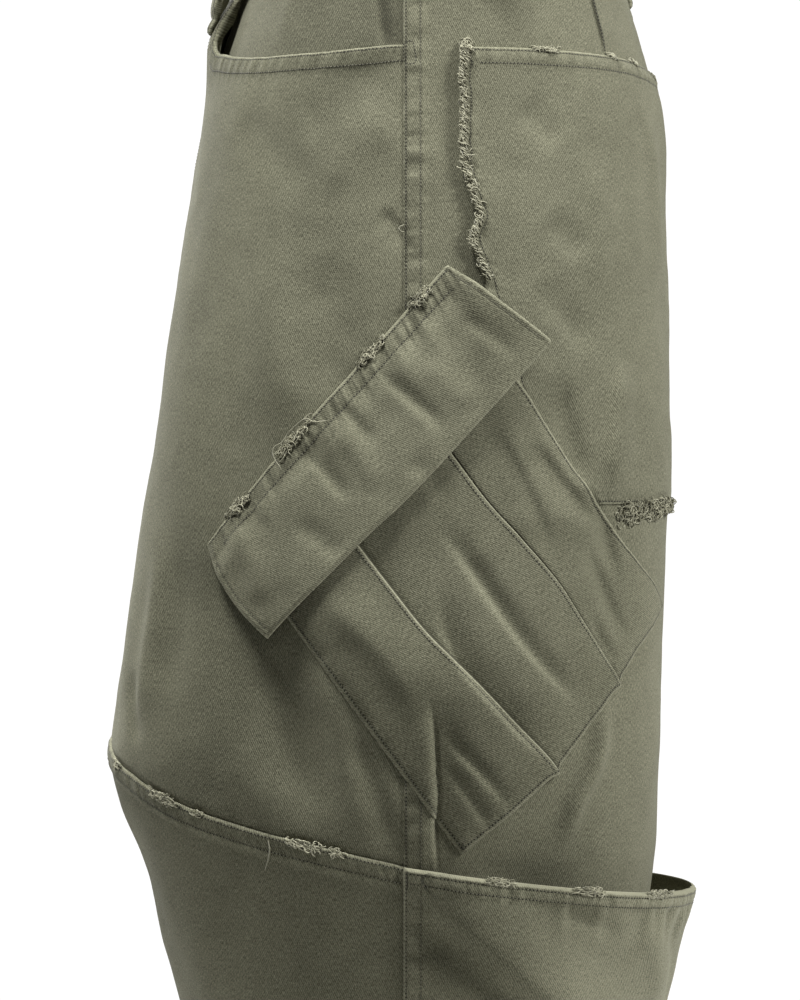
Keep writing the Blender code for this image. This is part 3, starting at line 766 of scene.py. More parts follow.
def spaced(span, step, start=True, end=True):
    """Shares along a span, close together at the chosen ends."""
    def from_edge(fine, reach):
        places = [0.0]
        while places[-1] < reach:
            grown = EDGE_SHARE * step + EDGE_GROWTH * places[-1]
            places.append(places[-1] + (min(step, grown) if fine else step))
        return np.array(places) * reach / places[-1]
    left, right = from_edge(start, span / 2), from_edge(end, span / 2)
    return np.concatenate([left, (span - right[::-1])[1:]]) / span


def finer(shares, span, start, end, step):
    """The shares, with places a fine step apart between two distances."""
    outside = (shares * span < start) | (shares * span > end)
    return np.sort(np.concatenate([shares[outside], np.arange(start, end, step) / span]))


def run_along(points, axis):
    """Distance along rows or columns of a grid of points."""
    steps = np.linalg.norm(np.diff(points, axis=axis), axis=-1)
    start = np.zeros_like(np.take(steps, [0], axis))
    return np.concatenate([start, np.cumsum(steps, axis)], axis)


def sample(values, rows, columns):
    """Values of a grid at places between its points."""
    i = np.clip(rows.astype(int), 0, values.shape[0] - 2)
    j = np.clip(columns.astype(int), 0, values.shape[1] - 2)
    u, v = rows - i, columns - j
    if values.ndim > 2:
        u, v = u[:, None], v[:, None]
    return among(values, (i, i + 1), (j, j + 1), u, v)


def edged(distance, along, style, seed):
    """Relief, tone and share of puckering from an edge: rubbed wear, painted highlight and shade."""
    rows, puff, pucker, _, sink, shade, _ = STYLES[style]
    rise = -sink * (1 - blend(distance, 0, EDGE_ROUND))
    tone_and_shade = np.zeros(distance.shape)
    # Rubbed paler at the edge, and painted paler there as a highlight
    if sink:
        tone_and_shade += EDGE_WEAR_AND_HIGHLIGHT * (1 - blend(distance, *EDGE_WEAR_AND_HIGHLIGHT_REACH))
    if not rows:
        return rise, tone_and_shade, 0 * tone_and_shade
    last = rows[-1]
    # Painted shade on the strip between the rows
    tone_and_shade -= shade * blend(distance, 1.0, 2.6) * (1 - blend(distance, last - 0.5, last + 2))
    rise += puff * blend(distance, 0, 1.2) * (1 - blend(distance, last, last + 3))
    ripple = sum(
        share * mottle(along, distance * squash, size, seed + number)
        for number, (share, squash, size) in enumerate(RIPPLES)
    )
    # Painted shade in each row's furrow
    for row in rows:
        rise -= FURROW * bump(distance - row, FURROW_WIDTH)
        tone_and_shade -= FURROW_SHADE * bump(distance - row, FURROW_SHADE_WIDTH)
    within = bump(distance - last * PUCKER_MIDDLE, last * PUCKER_SHARE + PUCKER_REACH)
    rise += pucker * ripple * within
    # Painted light and shade that follows the ripples
    tone_and_shade += PUCKER_SHADING * ripple * within
    return rise, tone_and_shade, within * pucker / MOST_PUCKER * blend(distance, *PUCKER_START)


def kind_of(name):
    """The name that all pieces of one cut share."""
    for ending in ("_left", "_right", "_front", "_side", "_back"):
        if name not in EDGES and name.endswith(ending):
            name = name[:-len(ending)]
    return name


def placed(name, data):
    """A new object in the scene."""
    thing = bpy.data.objects.new(name, data)
    bpy.context.scene.collection.objects.link(thing)
    return thing


def mesh_of(name, points, faces, side):
    """A mesh from points in millimetres on the left side, mirrored for the right."""
    points = points * (side * MM, MM, MM)
    corners = np.concatenate([some[:, ::side].ravel() for some in faces])
    sizes = np.concatenate([np.full(len(some), some.shape[1]) for some in faces])
    mesh = bpy.data.meshes.new(name)
    mesh.vertices.add(len(points))
    mesh.vertices.foreach_set("co", points.astype(np.float32).ravel())
    mesh.loops.add(len(corners))
    mesh.loops.foreach_set("vertex_index", corners.astype(np.int32))
    mesh.polygons.add(len(sizes))
    mesh.polygons.foreach_set("loop_start", (np.cumsum(sizes) - sizes).astype(np.int32))
    mesh.polygons.foreach_set("use_smooth", np.full(len(sizes), True))
    mesh.update(calc_edges=True)
    mesh.validate()
    piece = placed(name, mesh)
    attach(piece, "root")
    return piece


def set_values(piece, **values):
    """Named numbers at the mesh's points, for its material."""
    for name, numbers in values.items():
        piece.data.attributes.new(name, "FLOAT", "POINT").data.foreach_set(
            "value", numbers.astype(np.float32).ravel()
        )


def set_uv(piece, places):
    corners = np.zeros(len(piece.data.loops), dtype=np.int32)
    piece.data.loops.foreach_get("vertex_index", corners)
    piece.data.uv_layers.new(name="UVMap").data.foreach_set(
        "uv", (places[corners] * MM).astype(np.float32).ravel()
    )


def border(rows, columns):
    """Grid indexes of the border, once round."""
    top = [(0, c) for c in range(columns)]
    right = [(r, columns - 1) for r in range(1, rows)]
    bottom = [(rows - 1, c) for c in range(columns - 2, -1, -1)]
    left = [(r, 0) for r in range(rows - 2, 0, -1)]
    return np.array(top + right + bottom + left)


def lines_kept(count):
    """The grid lines that the inner face keeps: every few, clear of the border."""
    return np.unique(np.append(np.arange(2, count - 2, INNER_SKIP), count - 3))


def quads(number):
    """Four-cornered faces between neighbouring points of a grid."""
    corners = [number[:-1, :-1], number[1:, :-1], number[1:, 1:], number[:-1, 1:]]
    return np.stack(corners, -1).reshape(-1, 4)


def shell(name, outer, inner, uv, side, **values):
    """A closed thin shell between two grids of points, its edge rounded, coarser on the inside."""
    rows, columns = outer.shape[:2]
    total = rows * columns
    number = np.arange(total).reshape(rows, columns)
    rim = border(rows, columns)
    count = len(rim)
    upper = number[rim[:, 0], rim[:, 1]]
    mid = total + np.arange(count)
    lower = mid + count
    kept_rows, kept_columns = lines_kept(rows), lines_kept(columns)
    few = np.ix_(kept_rows, kept_columns)
    small = np.arange(len(kept_rows) * len(kept_columns)).reshape(len(kept_rows), -1)
    small = small + total + 2 * count
    nearest_row = abs(rim[:, :1] - kept_rows).argmin(1)
    nearest_column = abs(rim[:, 1:] - kept_columns).argmin(1)
    hold = small[nearest_row, nearest_column]
    after = np.roll(np.arange(count), -1)
    faces = [
        quads(number),
        quads(small)[:, ::-1],
        np.stack([upper, upper[after], mid[after], mid], -1),
        np.stack([mid, mid[after], lower[after], lower], -1),
        np.stack([lower, lower[after], hold], -1),
        np.stack([lower[after], hold[after], hold], -1)[hold != hold[after]],
    ]
    inside = np.clip(rim, 1, (rows - 2, columns - 2))
    edge = outer[rim[:, 0], rim[:, 1]]
    away = unit(edge - outer[inside[:, 0], inside[:, 1]])
    under = inner[rim[:, 0], rim[:, 1]]
    wall = np.linalg.norm(edge - under, axis=-1)[:, None]
    middle = (edge + under) / 2 + away * EDGE_BULGE * wall
    points = np.concatenate([outer.reshape(-1, 3), middle, under, inner[few].reshape(-1, 3)])
    piece = mesh_of(name, points, faces, side)
    taken = np.concatenate([number.ravel(), upper, upper, number[few].ravel()])
    set_uv(piece, uv.reshape(-1, 2)[taken])
    seen = np.arange(len(taken)) < total + count
    set_values(piece, **{key: numbers.ravel()[taken] * seen for key, numbers in values.items()})
    return piece


def lowest(level):
    """The lowest of each place and its neighbours, so that the coarse inner face stays inside."""
    padded = np.pad(level, INNER_SKIP, mode="edge")
    span = 2 * INNER_SKIP + 1
    least = np.lib.stride_tricks.sliding_window_view(padded, (span, span)).min((-1, -2))
    least[(0, -1), :] = level[(0, -1), :]
    least[:, (0, -1)] = level[:, (0, -1)]
    return least


def lay(name, side, arcs, drops, base, away, out, wall=TWILL, grain=0, wear=0, own=0):
    """Lays one piece of cloth over its solid, and gives back the grid that sewing goes by."""
    edges = dict(zip(("left", "right", "top", "bottom"), EDGES[kind_of(name)].split()))
    across, down = run_along(base, 1), run_along(base, 0)
    reach = {
        "left": across,
        "right": across[:, -1:] - across,
        "top": down,
        "bottom": down[-1:] - down,
    }
    runs = {"left": down, "right": down, "top": across, "bottom": across}
    level = np.zeros(arcs.shape) + out + own
    # The points' tone: wear, and painted light and shade at edges, seams, folds and spots
    tone_and_shade = np.zeros(arcs.shape) + wear
    pucker = np.zeros(arcs.shape)
    along = np.zeros(arcs.shape)
    for number, (edge, style) in enumerate(edges.items()):
        seed = sum(map(ord, name)) * 7 + number * 31
        rise, edge_tone_and_shade, gathered = edged(reach[edge], runs[edge], style, seed)
        level += rise
        tone_and_shade += edge_tone_and_shade
        along = np.where(gathered > pucker, runs[edge] / STYLES[style][3] + 50 * number, along)
        pucker = np.maximum(pucker, gathered)
    outer = base + away * level[..., None]
    inner = base + away * (lowest(level) - wall)[..., None]
    turn = math.radians(grain)
    uv = np.stack([
        arcs * math.cos(turn) - drops * math.sin(turn),
        -arcs * math.sin(turn) - drops * math.cos(turn),
    ], -1)
    piece = shell(
        name + "_cloth", outer, inner, uv, side, wear=tone_and_shade, pucker=pucker, along=along
    )
    inside = "facing" in name or "shield" in name
    piece.data.materials.append(MATERIALS["facing" if inside else "cloth"])
    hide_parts(name)
    normal = unit(np.cross(np.gradient(outer, axis=0), np.gradient(outer, axis=1)))
    return {
        "name": name, "side": side, "piece": piece, "outer": outer, "normal": normal,
        "reach": reach, "runs": runs, "edges": edges, "arcs": arcs, "drops": drops, "sewing": [],
    }


def laid(name, side, arcs, drops, out, wear=0, **more):
    """Lays a piece that stays on one leg."""
    base = on_form(arcs, drops)
    away = outwards(base)
    base[..., 0] += SEAM_GAP / 2
    level = out + relief(arcs, drops, side)
    # Each piece's painted light and shade, added to its tone
    wear = painted_shading(name, arcs, drops) + wear
    return lay(sided(name, side), side, arcs, drops, base, away, level, wear=wear, **more)


# ---- stitches, seams and loose threads ----

SEWN_STEP = 1.5
SEWN_END = 1.5
HOLE_CHANGE = 0.5
THREAD = 0.34
THREAD_SIDES = 4
THREAD_RINGS = 12
THREAD_TAPER = 0.4
THREAD_TONES = (-0.7, 0.6)
THREAD_WIDTHS = (0.7, 1.15)
THREAD_LENGTHS = (0.5, 1.3)
THREAD_LIFTS = (0.2, 1)
# Threads sit this far up the cloth. Frayed places longer than this have them evenly
THREAD_SEAT = 0.15
LONG_FRAY = 30


def along_edge(grid, edge, distance):
    """Places on a grid at a distance from one of its edges, as fractional rows and columns."""
    upright = edge in ("left", "right")
    lines = grid["reach"][edge] if upright else grid["reach"][edge].T
    order = slice(None) if edge in ("left", "top") else slice(None, None, -1)
    counted = np.arange(lines.shape[1])[order]
    found = np.array([np.interp(distance, line[order], counted) for line in lines])
    even = np.arange(len(lines), dtype=float)
    return (even, found) if upright else (found, even)


def locate(grid, line):
    """Places on a grid of arcs and drops, as fractional rows and columns."""
    found = []
    arcs, drops = grid["arcs"], grid["drops"]
    for arc, drop in smooth_line(line, SEWN_STEP):
        gap = (arcs - arc) ** 2 + (drops - drop) ** 2
        r, c = np.unravel_index(gap.argmin(), gap.shape)
        r, c = np.clip(r, 1, arcs.shape[0] - 2), np.clip(c, 1, arcs.shape[1] - 2)
        slopes = np.array([
            [arcs[r + 1, c] - arcs[r - 1, c], arcs[r, c + 1] - arcs[r, c - 1]],
            [drops[r + 1, c] - drops[r - 1, c], drops[r, c + 1] - drops[r, c - 1]],
        ]) / 2
        move = np.linalg.solve(slopes, [arc - arcs[r, c], drop - drops[r, c]])
        found.append((r, c) + np.clip(move, -SEWN_STEP, SEWN_STEP))
    return np.array(found).T


def path(grid, rows, columns, start=0.0, end=0.0, bite=HOLE):
    """Points and normals along places on a grid, with a length left out at each end."""
    points = sample(grid["outer"], rows, columns)
    normals = sample(grid["normal"], rows, columns)
    run = np.concatenate([[0], np.cumsum(np.linalg.norm(np.diff(points, axis=0), axis=-1))])
    return points, normals, run, (start, run[-1] - end), bite


def spots_on(line, places):
    """Points, tangents, normals and sideways vectors at distances along a path."""
    points, normals, run = line[:3]
    def at(where, values):
        return np.stack([np.interp(where, run, column) for column in values.T], -1)
    ahead = unit(at(places + 0.5, points) - at(places - 0.5, points), TINY)
    normal = at(places, normals)
    normal = unit(normal - ahead * (normal * ahead).sum(-1, keepdims=True), TINY)
    return at(places, points), ahead, normal, np.cross(normal, ahead)


# One stitch, as places ahead, aside and up: its thread, then a dark sheet, the hole's painted shade
STITCH = np.array([
    (-0.52, 0, -0.02),
    (-0.28, 0.27, 0), (-0.28, 0, 0.24), (-0.28, -0.27, 0), (-0.28, 0, -0.24),
    (0.28, 0.27, 0), (0.28, 0, 0.24), (0.28, -0.27, 0), (0.28, 0, -0.24),
    (0.52, 0, -0.02),
    (0.46, 0, 0.16), (0.95, 0.44, 0.16), (1.44, 0, 0.16), (0.95, -0.44, 0.16),
])
STITCH_FACES = np.array(
    [(0, 2, 1), (0, 3, 2), (0, 4, 3), (0, 1, 4)]
    + [face for a, b in ((1, 2), (2, 3), (3, 4), (4, 1)) for face in ((a, b, b + 4), (a, b + 4, a + 4))]
    + [(9, 5, 6), (9, 6, 7), (9, 7, 8), (9, 8, 5)]
    + [(10, 13, 12), (10, 12, 11)]
)
STITCH_HOLE_SHADE = np.array([0.0] * 10 + [-1.0] * 4)


def threads(name, points, faces, side, wear, material):
    """One piece of sewing or fray, which goes with its cloth."""
    piece = mesh_of(name, points.reshape(-1, 3), [faces], side)
    set_values(piece, wear=wear)
    piece.data.materials.append(MATERIALS[material])
    return piece


def stitched(grid, lines):
    """Sews rows of stitches along paths, as one piece that goes with the cloth."""
    points, wear = [], []
    for line in lines:
        low, high = line[3]
        count = int((high - low) / STITCH_PITCH)
        if count < 1:
            continue
        places = low + (np.arange(count) + 0.5) * STITCH_PITCH
        at, ahead, normal, aside = spots_on(line, places)
        frame_of = np.stack([ahead, aside, normal], 1)
        points.append(at[:, None] + np.einsum("kv,nvx->nkx", STITCH, frame_of))
        # How dark each needle hole is painted, as shade
        deep = line[4] * (1 + HOLE_CHANGE * mottle(places, 0 * places, 9, 5))
        wear.append(STITCH_HOLE_SHADE * deep[:, None])
    if not points:
        return
    points, wear = np.concatenate(points), np.concatenate(wear)
    offsets = np.arange(len(points))[:, None, None] * len(STITCH)
    faces = (STITCH_FACES[None] + offsets).reshape(-1, 3)
    name = grid["name"] + "_stitching"
    grid["sewing"].append(threads(name, points, faces, grid["side"], wear, "thread"))


def sew(grid, extra=(), skip=()):
    """Stitches along every edge that has rows, and along extra lines."""
    lines = []
    for edge, style in grid["edges"].items():
        if edge in skip:
            continue
        for row, bite in zip(STYLES[style][0], STYLES[style][-1]):
            ends = SEWN_END if style in THROUGH_SEAMS else row
            lines.append(path(grid, *along_edge(grid, edge, row), ends, ends, bite))
    for line in extra:
        lines.append(path(grid, *locate(grid, line)))
    stitched(grid, lines)
    return grid


def tubes(name, cores, ups, radii, side, seed):
    """Thin tubes round rows of points, as one piece of frayed thread."""
    count, rings = cores.shape[:2]
    rng = np.random.default_rng(seed)
    angle = np.arange(THREAD_SIDES) * 2 * np.pi / THREAD_SIDES
    along = unit(np.gradient(cores, axis=1), TINY)
    aside = unit(np.cross(along, ups + 0.01), TINY)
    over = np.cross(along, aside)
    radius = radii[:, None, None, None] * np.ones((1, rings, 1, 1))
    radius[:, (0, -1)] *= THREAD_TAPER
    around = np.cos(angle)[:, None] * aside[:, :, None] + np.sin(angle)[:, None] * over[:, :, None]
    points = cores[:, :, None] + around * radius
    number = np.arange(rings * THREAD_SIDES).reshape(rings, THREAD_SIDES)
    turned = np.roll(number, -1, 1)
    faces = np.stack([number[:-1], turned[:-1], turned[1:], number[1:]], -1).reshape(-1, 4)
    offsets = np.arange(count)[:, None, None] * rings * THREAD_SIDES
    tint = np.repeat(rng.uniform(*THREAD_TONES, count), rings * THREAD_SIDES)
    return threads(name, points, (faces + offsets).reshape(-1, 4), side, tint, "fray")


def tuft(grid, rng, edge, start, end, count, long, lift, inside, heading, curl, flat):
    """Middles, upward directions and thickness of threads scattered along an edge."""
    line = path(grid, *along_edge(grid, edge, 0.4))
    deeper = path(grid, *along_edge(grid, edge, 3.0))
    places = rng.triangular(start, (start + end) / 2, end, count)
    if end - start > LONG_FRAY:
        places = rng.uniform(start, end, count)
    at, ahead, normal, _ = spots_on(line, places)
    away = at - spots_on(deeper, places * deeper[2][-1] / line[2][-1])[0]
    away = unit(away - ahead * (away * ahead).sum(-1, keepdims=True))
    at = at - away * rng.uniform(*inside, (count, 1))
    full = long * rng.uniform(*THREAD_LENGTHS, count)
    facing = rng.uniform(*heading, count)
    bend = rng.uniform(*curl, count) * rng.choice((-1, 1), count)
    share = np.linspace(0, 1, THREAD_RINGS)
    facing = facing[:, None] + bend[:, None] * full[:, None] * share
    stride = full[:, None] / (THREAD_RINGS - 1)
    out = np.cumsum(np.cos(facing) * stride, 1)
    beside = np.cumsum(np.sin(facing) * stride, 1)
    rise = lift * rng.uniform(*THREAD_LIFTS, (count, 1))
    high = THREAD_SEAT + rise * np.sin(np.pi * share) ** 0.7
    cores = at[:, None] + away[:, None] * flat * (out - out.mean(1, keepdims=True))[..., None]
    cores += ahead[:, None] * (beside - beside.mean(1, keepdims=True))[..., None]
    cores += normal[:, None] * high[..., None]
    ups = np.broadcast_to(normal[:, None], cores.shape)
    return cores, ups, THREAD * rng.uniform(*THREAD_WIDTHS, count)


def strand(places):
    """Middle, upward directions and thickness of one long loose thread: arcs, drops and heights."""
    places = np.array(places, float)
    knots = np.linspace(0, 1, len(places))
    spots = smooth_rows(np.column_stack([knots, places]), np.linspace(0, 1, THREAD_RINGS))
    base = on_form(spots[:, 0], spots[:, 1])
    up = outwards(base)
    return (base + up * spots[:, 2:])[None], up[None], np.array([THREAD])


# ---- materials ----

def plug(tree, socket, value):
    """Sets an input to a number, a colour or another node's output."""
    if isinstance(value, bpy.types.NodeSocket):
        tree.links.new(value, socket)
    else:
        socket.default_value = value


def fill(tree, node, **inputs):
    """Sets a node's inputs by their names."""
    for name, value in inputs.items():
        plug(tree, node.inputs[name.replace("_", " ")], value)


def add(tree, kind, output=0, **inputs):
    """Adds a node and gives back one of its outputs."""
    node = tree.nodes.new("ShaderNode" + kind)
    fill(tree, node, **inputs)
    return node.outputs[output]


def computed(tree, operation, *values):
    """The result of one operation on numbers or other nodes' outputs."""
    node = tree.nodes.new("ShaderNodeMath")
    node.operation = operation
    for socket, value in zip(node.inputs, values):
        plug(tree, socket, value)
    return node.outputs[0]


def value_at(tree, name):
    """The numbers of one name that the mesh's points have."""
    node = tree.nodes.new("ShaderNodeAttribute")
    node.attribute_name = name
    return node.outputs["Fac"]


def colours_of(tree, share, *stops):
    """Colours blended along a ramp of two or three stops, each a place and a colour."""
    node = tree.nodes.new("ShaderNodeValToRGB")
    elements = node.color_ramp.elements
    if len(stops) > len(elements):
        elements.new(0.5)
    for element, (place, colour) in zip(elements, stops):
        element.position, element.color = place, (*colour, 1)
    fill(tree, node, Fac=share)
    return node.outputs["Color"]


def new_material(name, **inputs):
    material = bpy.data.materials.new(name)
    material.use_nodes = True
    tree = material.node_tree
    shader = tree.nodes["Principled BSDF"]
    fill(tree, shader, **inputs)
    return material, tree, shader


RIB_PITCH = 0.00098
RIB_SLANT = -27
WAVE_LENGTH = 0.314  # of a wave texture at scale 1
PUCKERS = 1.1
# What the tone of the twill is made of, and how much there is of each. The puckers' part is
# painted light and shade along gathered seams; the points' tone holds wear and painted light and shade
TONE = {
    "dye": 0.30, "cloudy": 0.24, "yarn": 1.55, "weft": 1.10, "puckers": 0.45, "ribs": 0.42, "wear": 0.5,
}


def twill_material(name, dark, colour, light):
    """Worn twill: fine slanting ribs, yarn and dye unevenness, paler where it is rubbed, and painted
    light and shade from its points' tone and its puckers.
    """
    material, tree, shader = new_material(
        name, Roughness=0.92, Specular_IOR_Level=0.18,
        Sheen_Weight=0.10, Sheen_Roughness=0.55, Sheen_Tint=(0.75, 0.74, 0.62, 1),
    )
    places = add(tree, "TexCoord", "UV")
    turned = add(tree, "Mapping", Vector=places, Rotation=(0, 0, math.radians(RIB_SLANT)))
    ribs = add(
        tree, "TexWave", "Fac", Vector=turned, Scale=WAVE_LENGTH / RIB_PITCH,
        Distortion=1.2, Detail=2.0, Detail_Scale=1.2,
    )

    def noise(scale, detail, stretch=(1, 1, 1)):
        mapped = add(tree, "Mapping", Vector=places, Scale=stretch)
        cloud = add(tree, "TexNoise", "Fac", Vector=mapped, Scale=scale, Detail=detail, Roughness=0.6)
        return computed(tree, "SUBTRACT", cloud, 0.5)

    gathered = tree.nodes.new("ShaderNodeTexNoise")
    gathered.noise_dimensions = "1D"
    fill(tree, gathered, W=value_at(tree, "along"), Scale=PUCKERS, Detail=0.6, Roughness=0.45)
    puckers = computed(tree, "SUBTRACT", gathered.outputs["Fac"], 0.5)
    # Puckers: painted light and shade along gathered seams, and a bump as well
    parts = {
        "dye": noise(16, 3),
        "cloudy": noise(85, 4),
        "yarn": noise(1150, 2, (1.5, 0.5, 1)),
        "weft": noise(1250, 2, (0.5, 1.7, 1)),
        "puckers": computed(tree, "MULTIPLY", puckers, value_at(tree, "pucker")),
        "ribs": computed(tree, "SUBTRACT", ribs, 0.5),
        "wear": value_at(tree, "wear"),
    }
    weighed = [computed(tree, "MULTIPLY", parts[part], weight) for part, weight in TONE.items()]
    tone = weighed[0]
    for part in (*weighed[1:], 0.5):
        tone = computed(tree, "ADD", tone, part)
    height = computed(tree, "ADD", computed(tree, "MULTIPLY", ribs, 0.5), parts["yarn"])
    height = computed(tree, "ADD", height, parts["weft"])
    weave = add(tree, "Bump", Strength=0.55, Distance=0.00022, Height=height)
    fill(
        tree, shader,
        Base_Color=colours_of(tree, tone, (0, dark), (0.5, colour), (1, light)),
        Normal=add(tree, "Bump", Strength=1.0, Distance=0.0015, Height=parts["puckers"], Normal=weave),
    )
    return material


def thread_material(name, dark, colour, light, scale):
    """Spun thread, fibrous, painted near black as shade in its needle holes, and paler where it is
    frayed.
    """
    material, tree, shader = new_material(
        name, Roughness=0.85, Specular_IOR_Level=0.2, Sheen_Weight=0.2
    )
    spots = add(tree, "TexCoord", "Object")
    grain = add(tree, "TexNoise", "Fac", Vector=spots, Scale=scale, Detail=3)
    tone = computed(tree, "MULTIPLY_ADD", value_at(tree, "wear"), 0.5, grain)
    fill(
        tree, shader,
        Base_Color=colours_of(tree, tone, (0, dark), (0.5, colour), (1, light)),
        Normal=add(tree, "Bump", Strength=0.5, Distance=0.0001, Height=grain),
    )
    return material


def button_material():
    """Dark horn, faintly clouded and softly polished."""
    material, tree, shader = new_material("Horn", Roughness=0.32, Specular_IOR_Level=0.5)
    spots = add(tree, "TexCoord", "Object")
    cloud = add(tree, "TexNoise", "Fac", Vector=spots, Scale=160, Detail=5, Distortion=1.4)
    horn = colours_of(tree, cloud, (0.3, (0.030, 0.026, 0.020)), (0.72, (0.115, 0.098, 0.070)))
    fill(tree, shader, Base_Color=horn)
    return material


# Each from its dark to its middle and its light colour
MATERIALS = {
    "cloth": twill_material(
        "Olive_twill", (0.040, 0.039, 0.024), (0.122, 0.120, 0.079), (0.232, 0.228, 0.158)
    ),
    # A slightly darker copy for the pieces that lie inside: painted shade
    "facing": twill_material(
        "Olive_twill_inner", (0.039, 0.038, 0.024), (0.118, 0.116, 0.077), (0.225, 0.221, 0.154)
    ),
    "thread": thread_material(
        "Olive_thread", (0.010, 0.009, 0.006), (0.130, 0.127, 0.085), (0.210, 0.205, 0.145), 2600
    ),
    "fray": thread_material(
        "Olive_fray", (0.105, 0.102, 0.068), (0.270, 0.262, 0.182), (0.430, 0.419, 0.305), 1800
    ),
}


# ---- the pieces ----

def sided(name, side):
    return name + ("_left" if side > 0 else "_right")


def leg_grid(way, shares, drops, lap=0.0):
    """Arcs at shares of the way to the centre line or inseam."""
    end = length(way, drops) - np.where(drops >= CROTCH_DROP, SEAM_GAP / 2, 0) + lap
    return WAYS[way] * (SEAM_GAP / 2 + shares * (end - SEAM_GAP / 2))


def hanging(top, bottom, span, side):
    """Drops from a top edge down to a level bottom edge."""
    return top + np.outer(spaced(span, STEP[side]), bottom - top)


def two_runs(top, bottom, side):
    """Drops from a top edge to the crotch and on to a bottom edge, close at the edges."""
    above = spaced(CROTCH_DROP - np.mean(top), STEP[side])
    below = spaced(np.mean(bottom) - CROTCH_DROP, STEP[side])[1:]
    upper = top + np.outer(above, CROTCH_DROP - top)
    lower = CROTCH_DROP + np.outer(below, bottom - CROTCH_DROP)
    return np.concatenate([upper, lower])


def centre_lap(side, drops):
    """How far the left leg's panel laps the right one's at the centre: more as the ring turns in."""
    more = CROTCH_LAP * blend(drops, *CROTCH_LAP_DROPS)
    return (side > 0) * (drops < CROTCH_DROP) * (CENTRE_LAP + more)


def centre_step(way, arcs, drops, side):
    """Height that keeps the left leg's panel above the right one's at the centre."""
    near = 1 - blend(length(way, drops) - abs(arcs), 0, CENTRE_STEP_REACH)
    return CENTRE_STEP * side * near * (drops < CROTCH_DROP)


def lapped(arcs, shares):
    """Arcs of a back piece whose side seam laps a little over the front."""
    return arcs - SIDE_LAP * (1 - blend(shares * PANEL_SPAN, 0, SIDE_LAP_RUN)) * (shares < 0.5)


def painted_shading(name, arcs, drops):
    """How much each place of a piece is painted paler and darker, as light and shade."""
    own, spots, fades = PAINTED_LIGHT_AND_SHADE.get(name, (0, (), ()))
    tone = np.full(arcs.shape, float(own))
    for arc, drop, squash, reach, much in spots:
        tone += much * bump(np.hypot(arcs - arc, (drops - drop) * squash), reach)
    for arc_range, drop_range, much in fades:
        tone += much * blend(arcs, *arc_range) * blend(drops, *drop_range)
    return tone


def gathers(name, along, below):
    """Height of the ribs that a seam gathers the cloth below it into."""
    height, start, middle, reach, *noises = GATHERS[name]
    ribs = sum(share * mottle(along, below * squash, *spots) for share, squash, *spots in noises)
    return height * ribs * blend(below, *start) * bump(below - middle, reach)


def front_panel(side):
    shares = 1 - spaced(PANEL_SPAN, STEP[side])
    drops = two_runs(front_top(shares), knee_seam(shares), side)
    arcs = leg_grid("front", shares, drops, centre_lap(side, drops))
    out = mouth_gape(arcs, drops) + side_band(arcs) + centre_step("front", arcs, drops, side)
    out = out - SEAM_DIP * (1 - blend(read(KNEE, 1, arcs) - drops, *SEAM_DIP_REACH))
    grid = laid("front", side, arcs, drops, out)
    width, outer, inner = np.array(FLY_STITCHES, dtype=float).T
    start = width - length("front", outer)
    rows = [np.stack([start, outer], -1), np.stack([start - FLY_ROWS_APART, inner], -1)]
    return sew(grid, rows if side > 0 else ())


def back_panel(side):
    shares = spaced(PANEL_SPAN, STEP[side])
    for start, end, step in BACK_FINER if side > 0 else ():
        shares = finer(shares, PANEL_SPAN, start, end, step)
    drops = two_runs(waist_seam("back", shares), np.full(len(shares), OUTSEAM), side)
    arcs = lapped(leg_grid("back", shares, drops, centre_lap(side, drops)), shares)
    out = side_band(np.maximum(arcs, 0)) + centre_step("back", arcs, drops, side)
    dart = crease(arcs, drops, *DART_STEP, DART, start_flat=False)
    # The dart's line is painted darker, as shade
    tone_and_shade = crease(arcs, drops, *DART_SHADE, DART, start_flat=False)
    return sew(laid("back", side, arcs, drops, out, own=dart, wear=tone_and_shade), [DART, BAR_TACK])


def pocket_facing(side):
    shares = (1 - spaced(FACING_SPAN, STEP[side])) * FACING_SET_BACK[-1][0]
    drops = hanging(waist_seam("front", shares), FACING_BOTTOM, FACING_DEPTH, side)
    arcs = leg_grid("front", shares, drops)
    out = -(TWILL + LAYER_GAP) - read(FACING_SET_BACK, 1, shares) + 0 * drops
    fold = crease(arcs, drops, *FACING_FOLD, start_flat=False)
    own = fold + crease(arcs, drops, *FACING_RIDGE)
    # The facing's fold is painted darker, as shade
    return laid("pocket_facing", side, arcs, drops, out, own=own, wear=FACING_FOLD_SHADE * fold)


def lower_front(side):
    shares = 1 - spaced(LOWER_SPAN, STEP[side])
    top = knee_seam(shares) - SEAM_LAP
    drops = hanging(top, OUTSEAM, LOWER_FRONT_DEPTH, side)
    arcs = leg_grid("front", shares, drops)
    out = SEAM_RISE * (1 - blend(drops - top, *SEAM_BAND)) + side_band(arcs)
    return sew(laid("lower_front", side, arcs, drops, out))


def stand_off(shares, drops, side):
    stand = smooth(STAND_OFF, drops) * np.sin(np.pi * shares)
    return stand * (1 if side > 0 else RIGHT_STANDS)


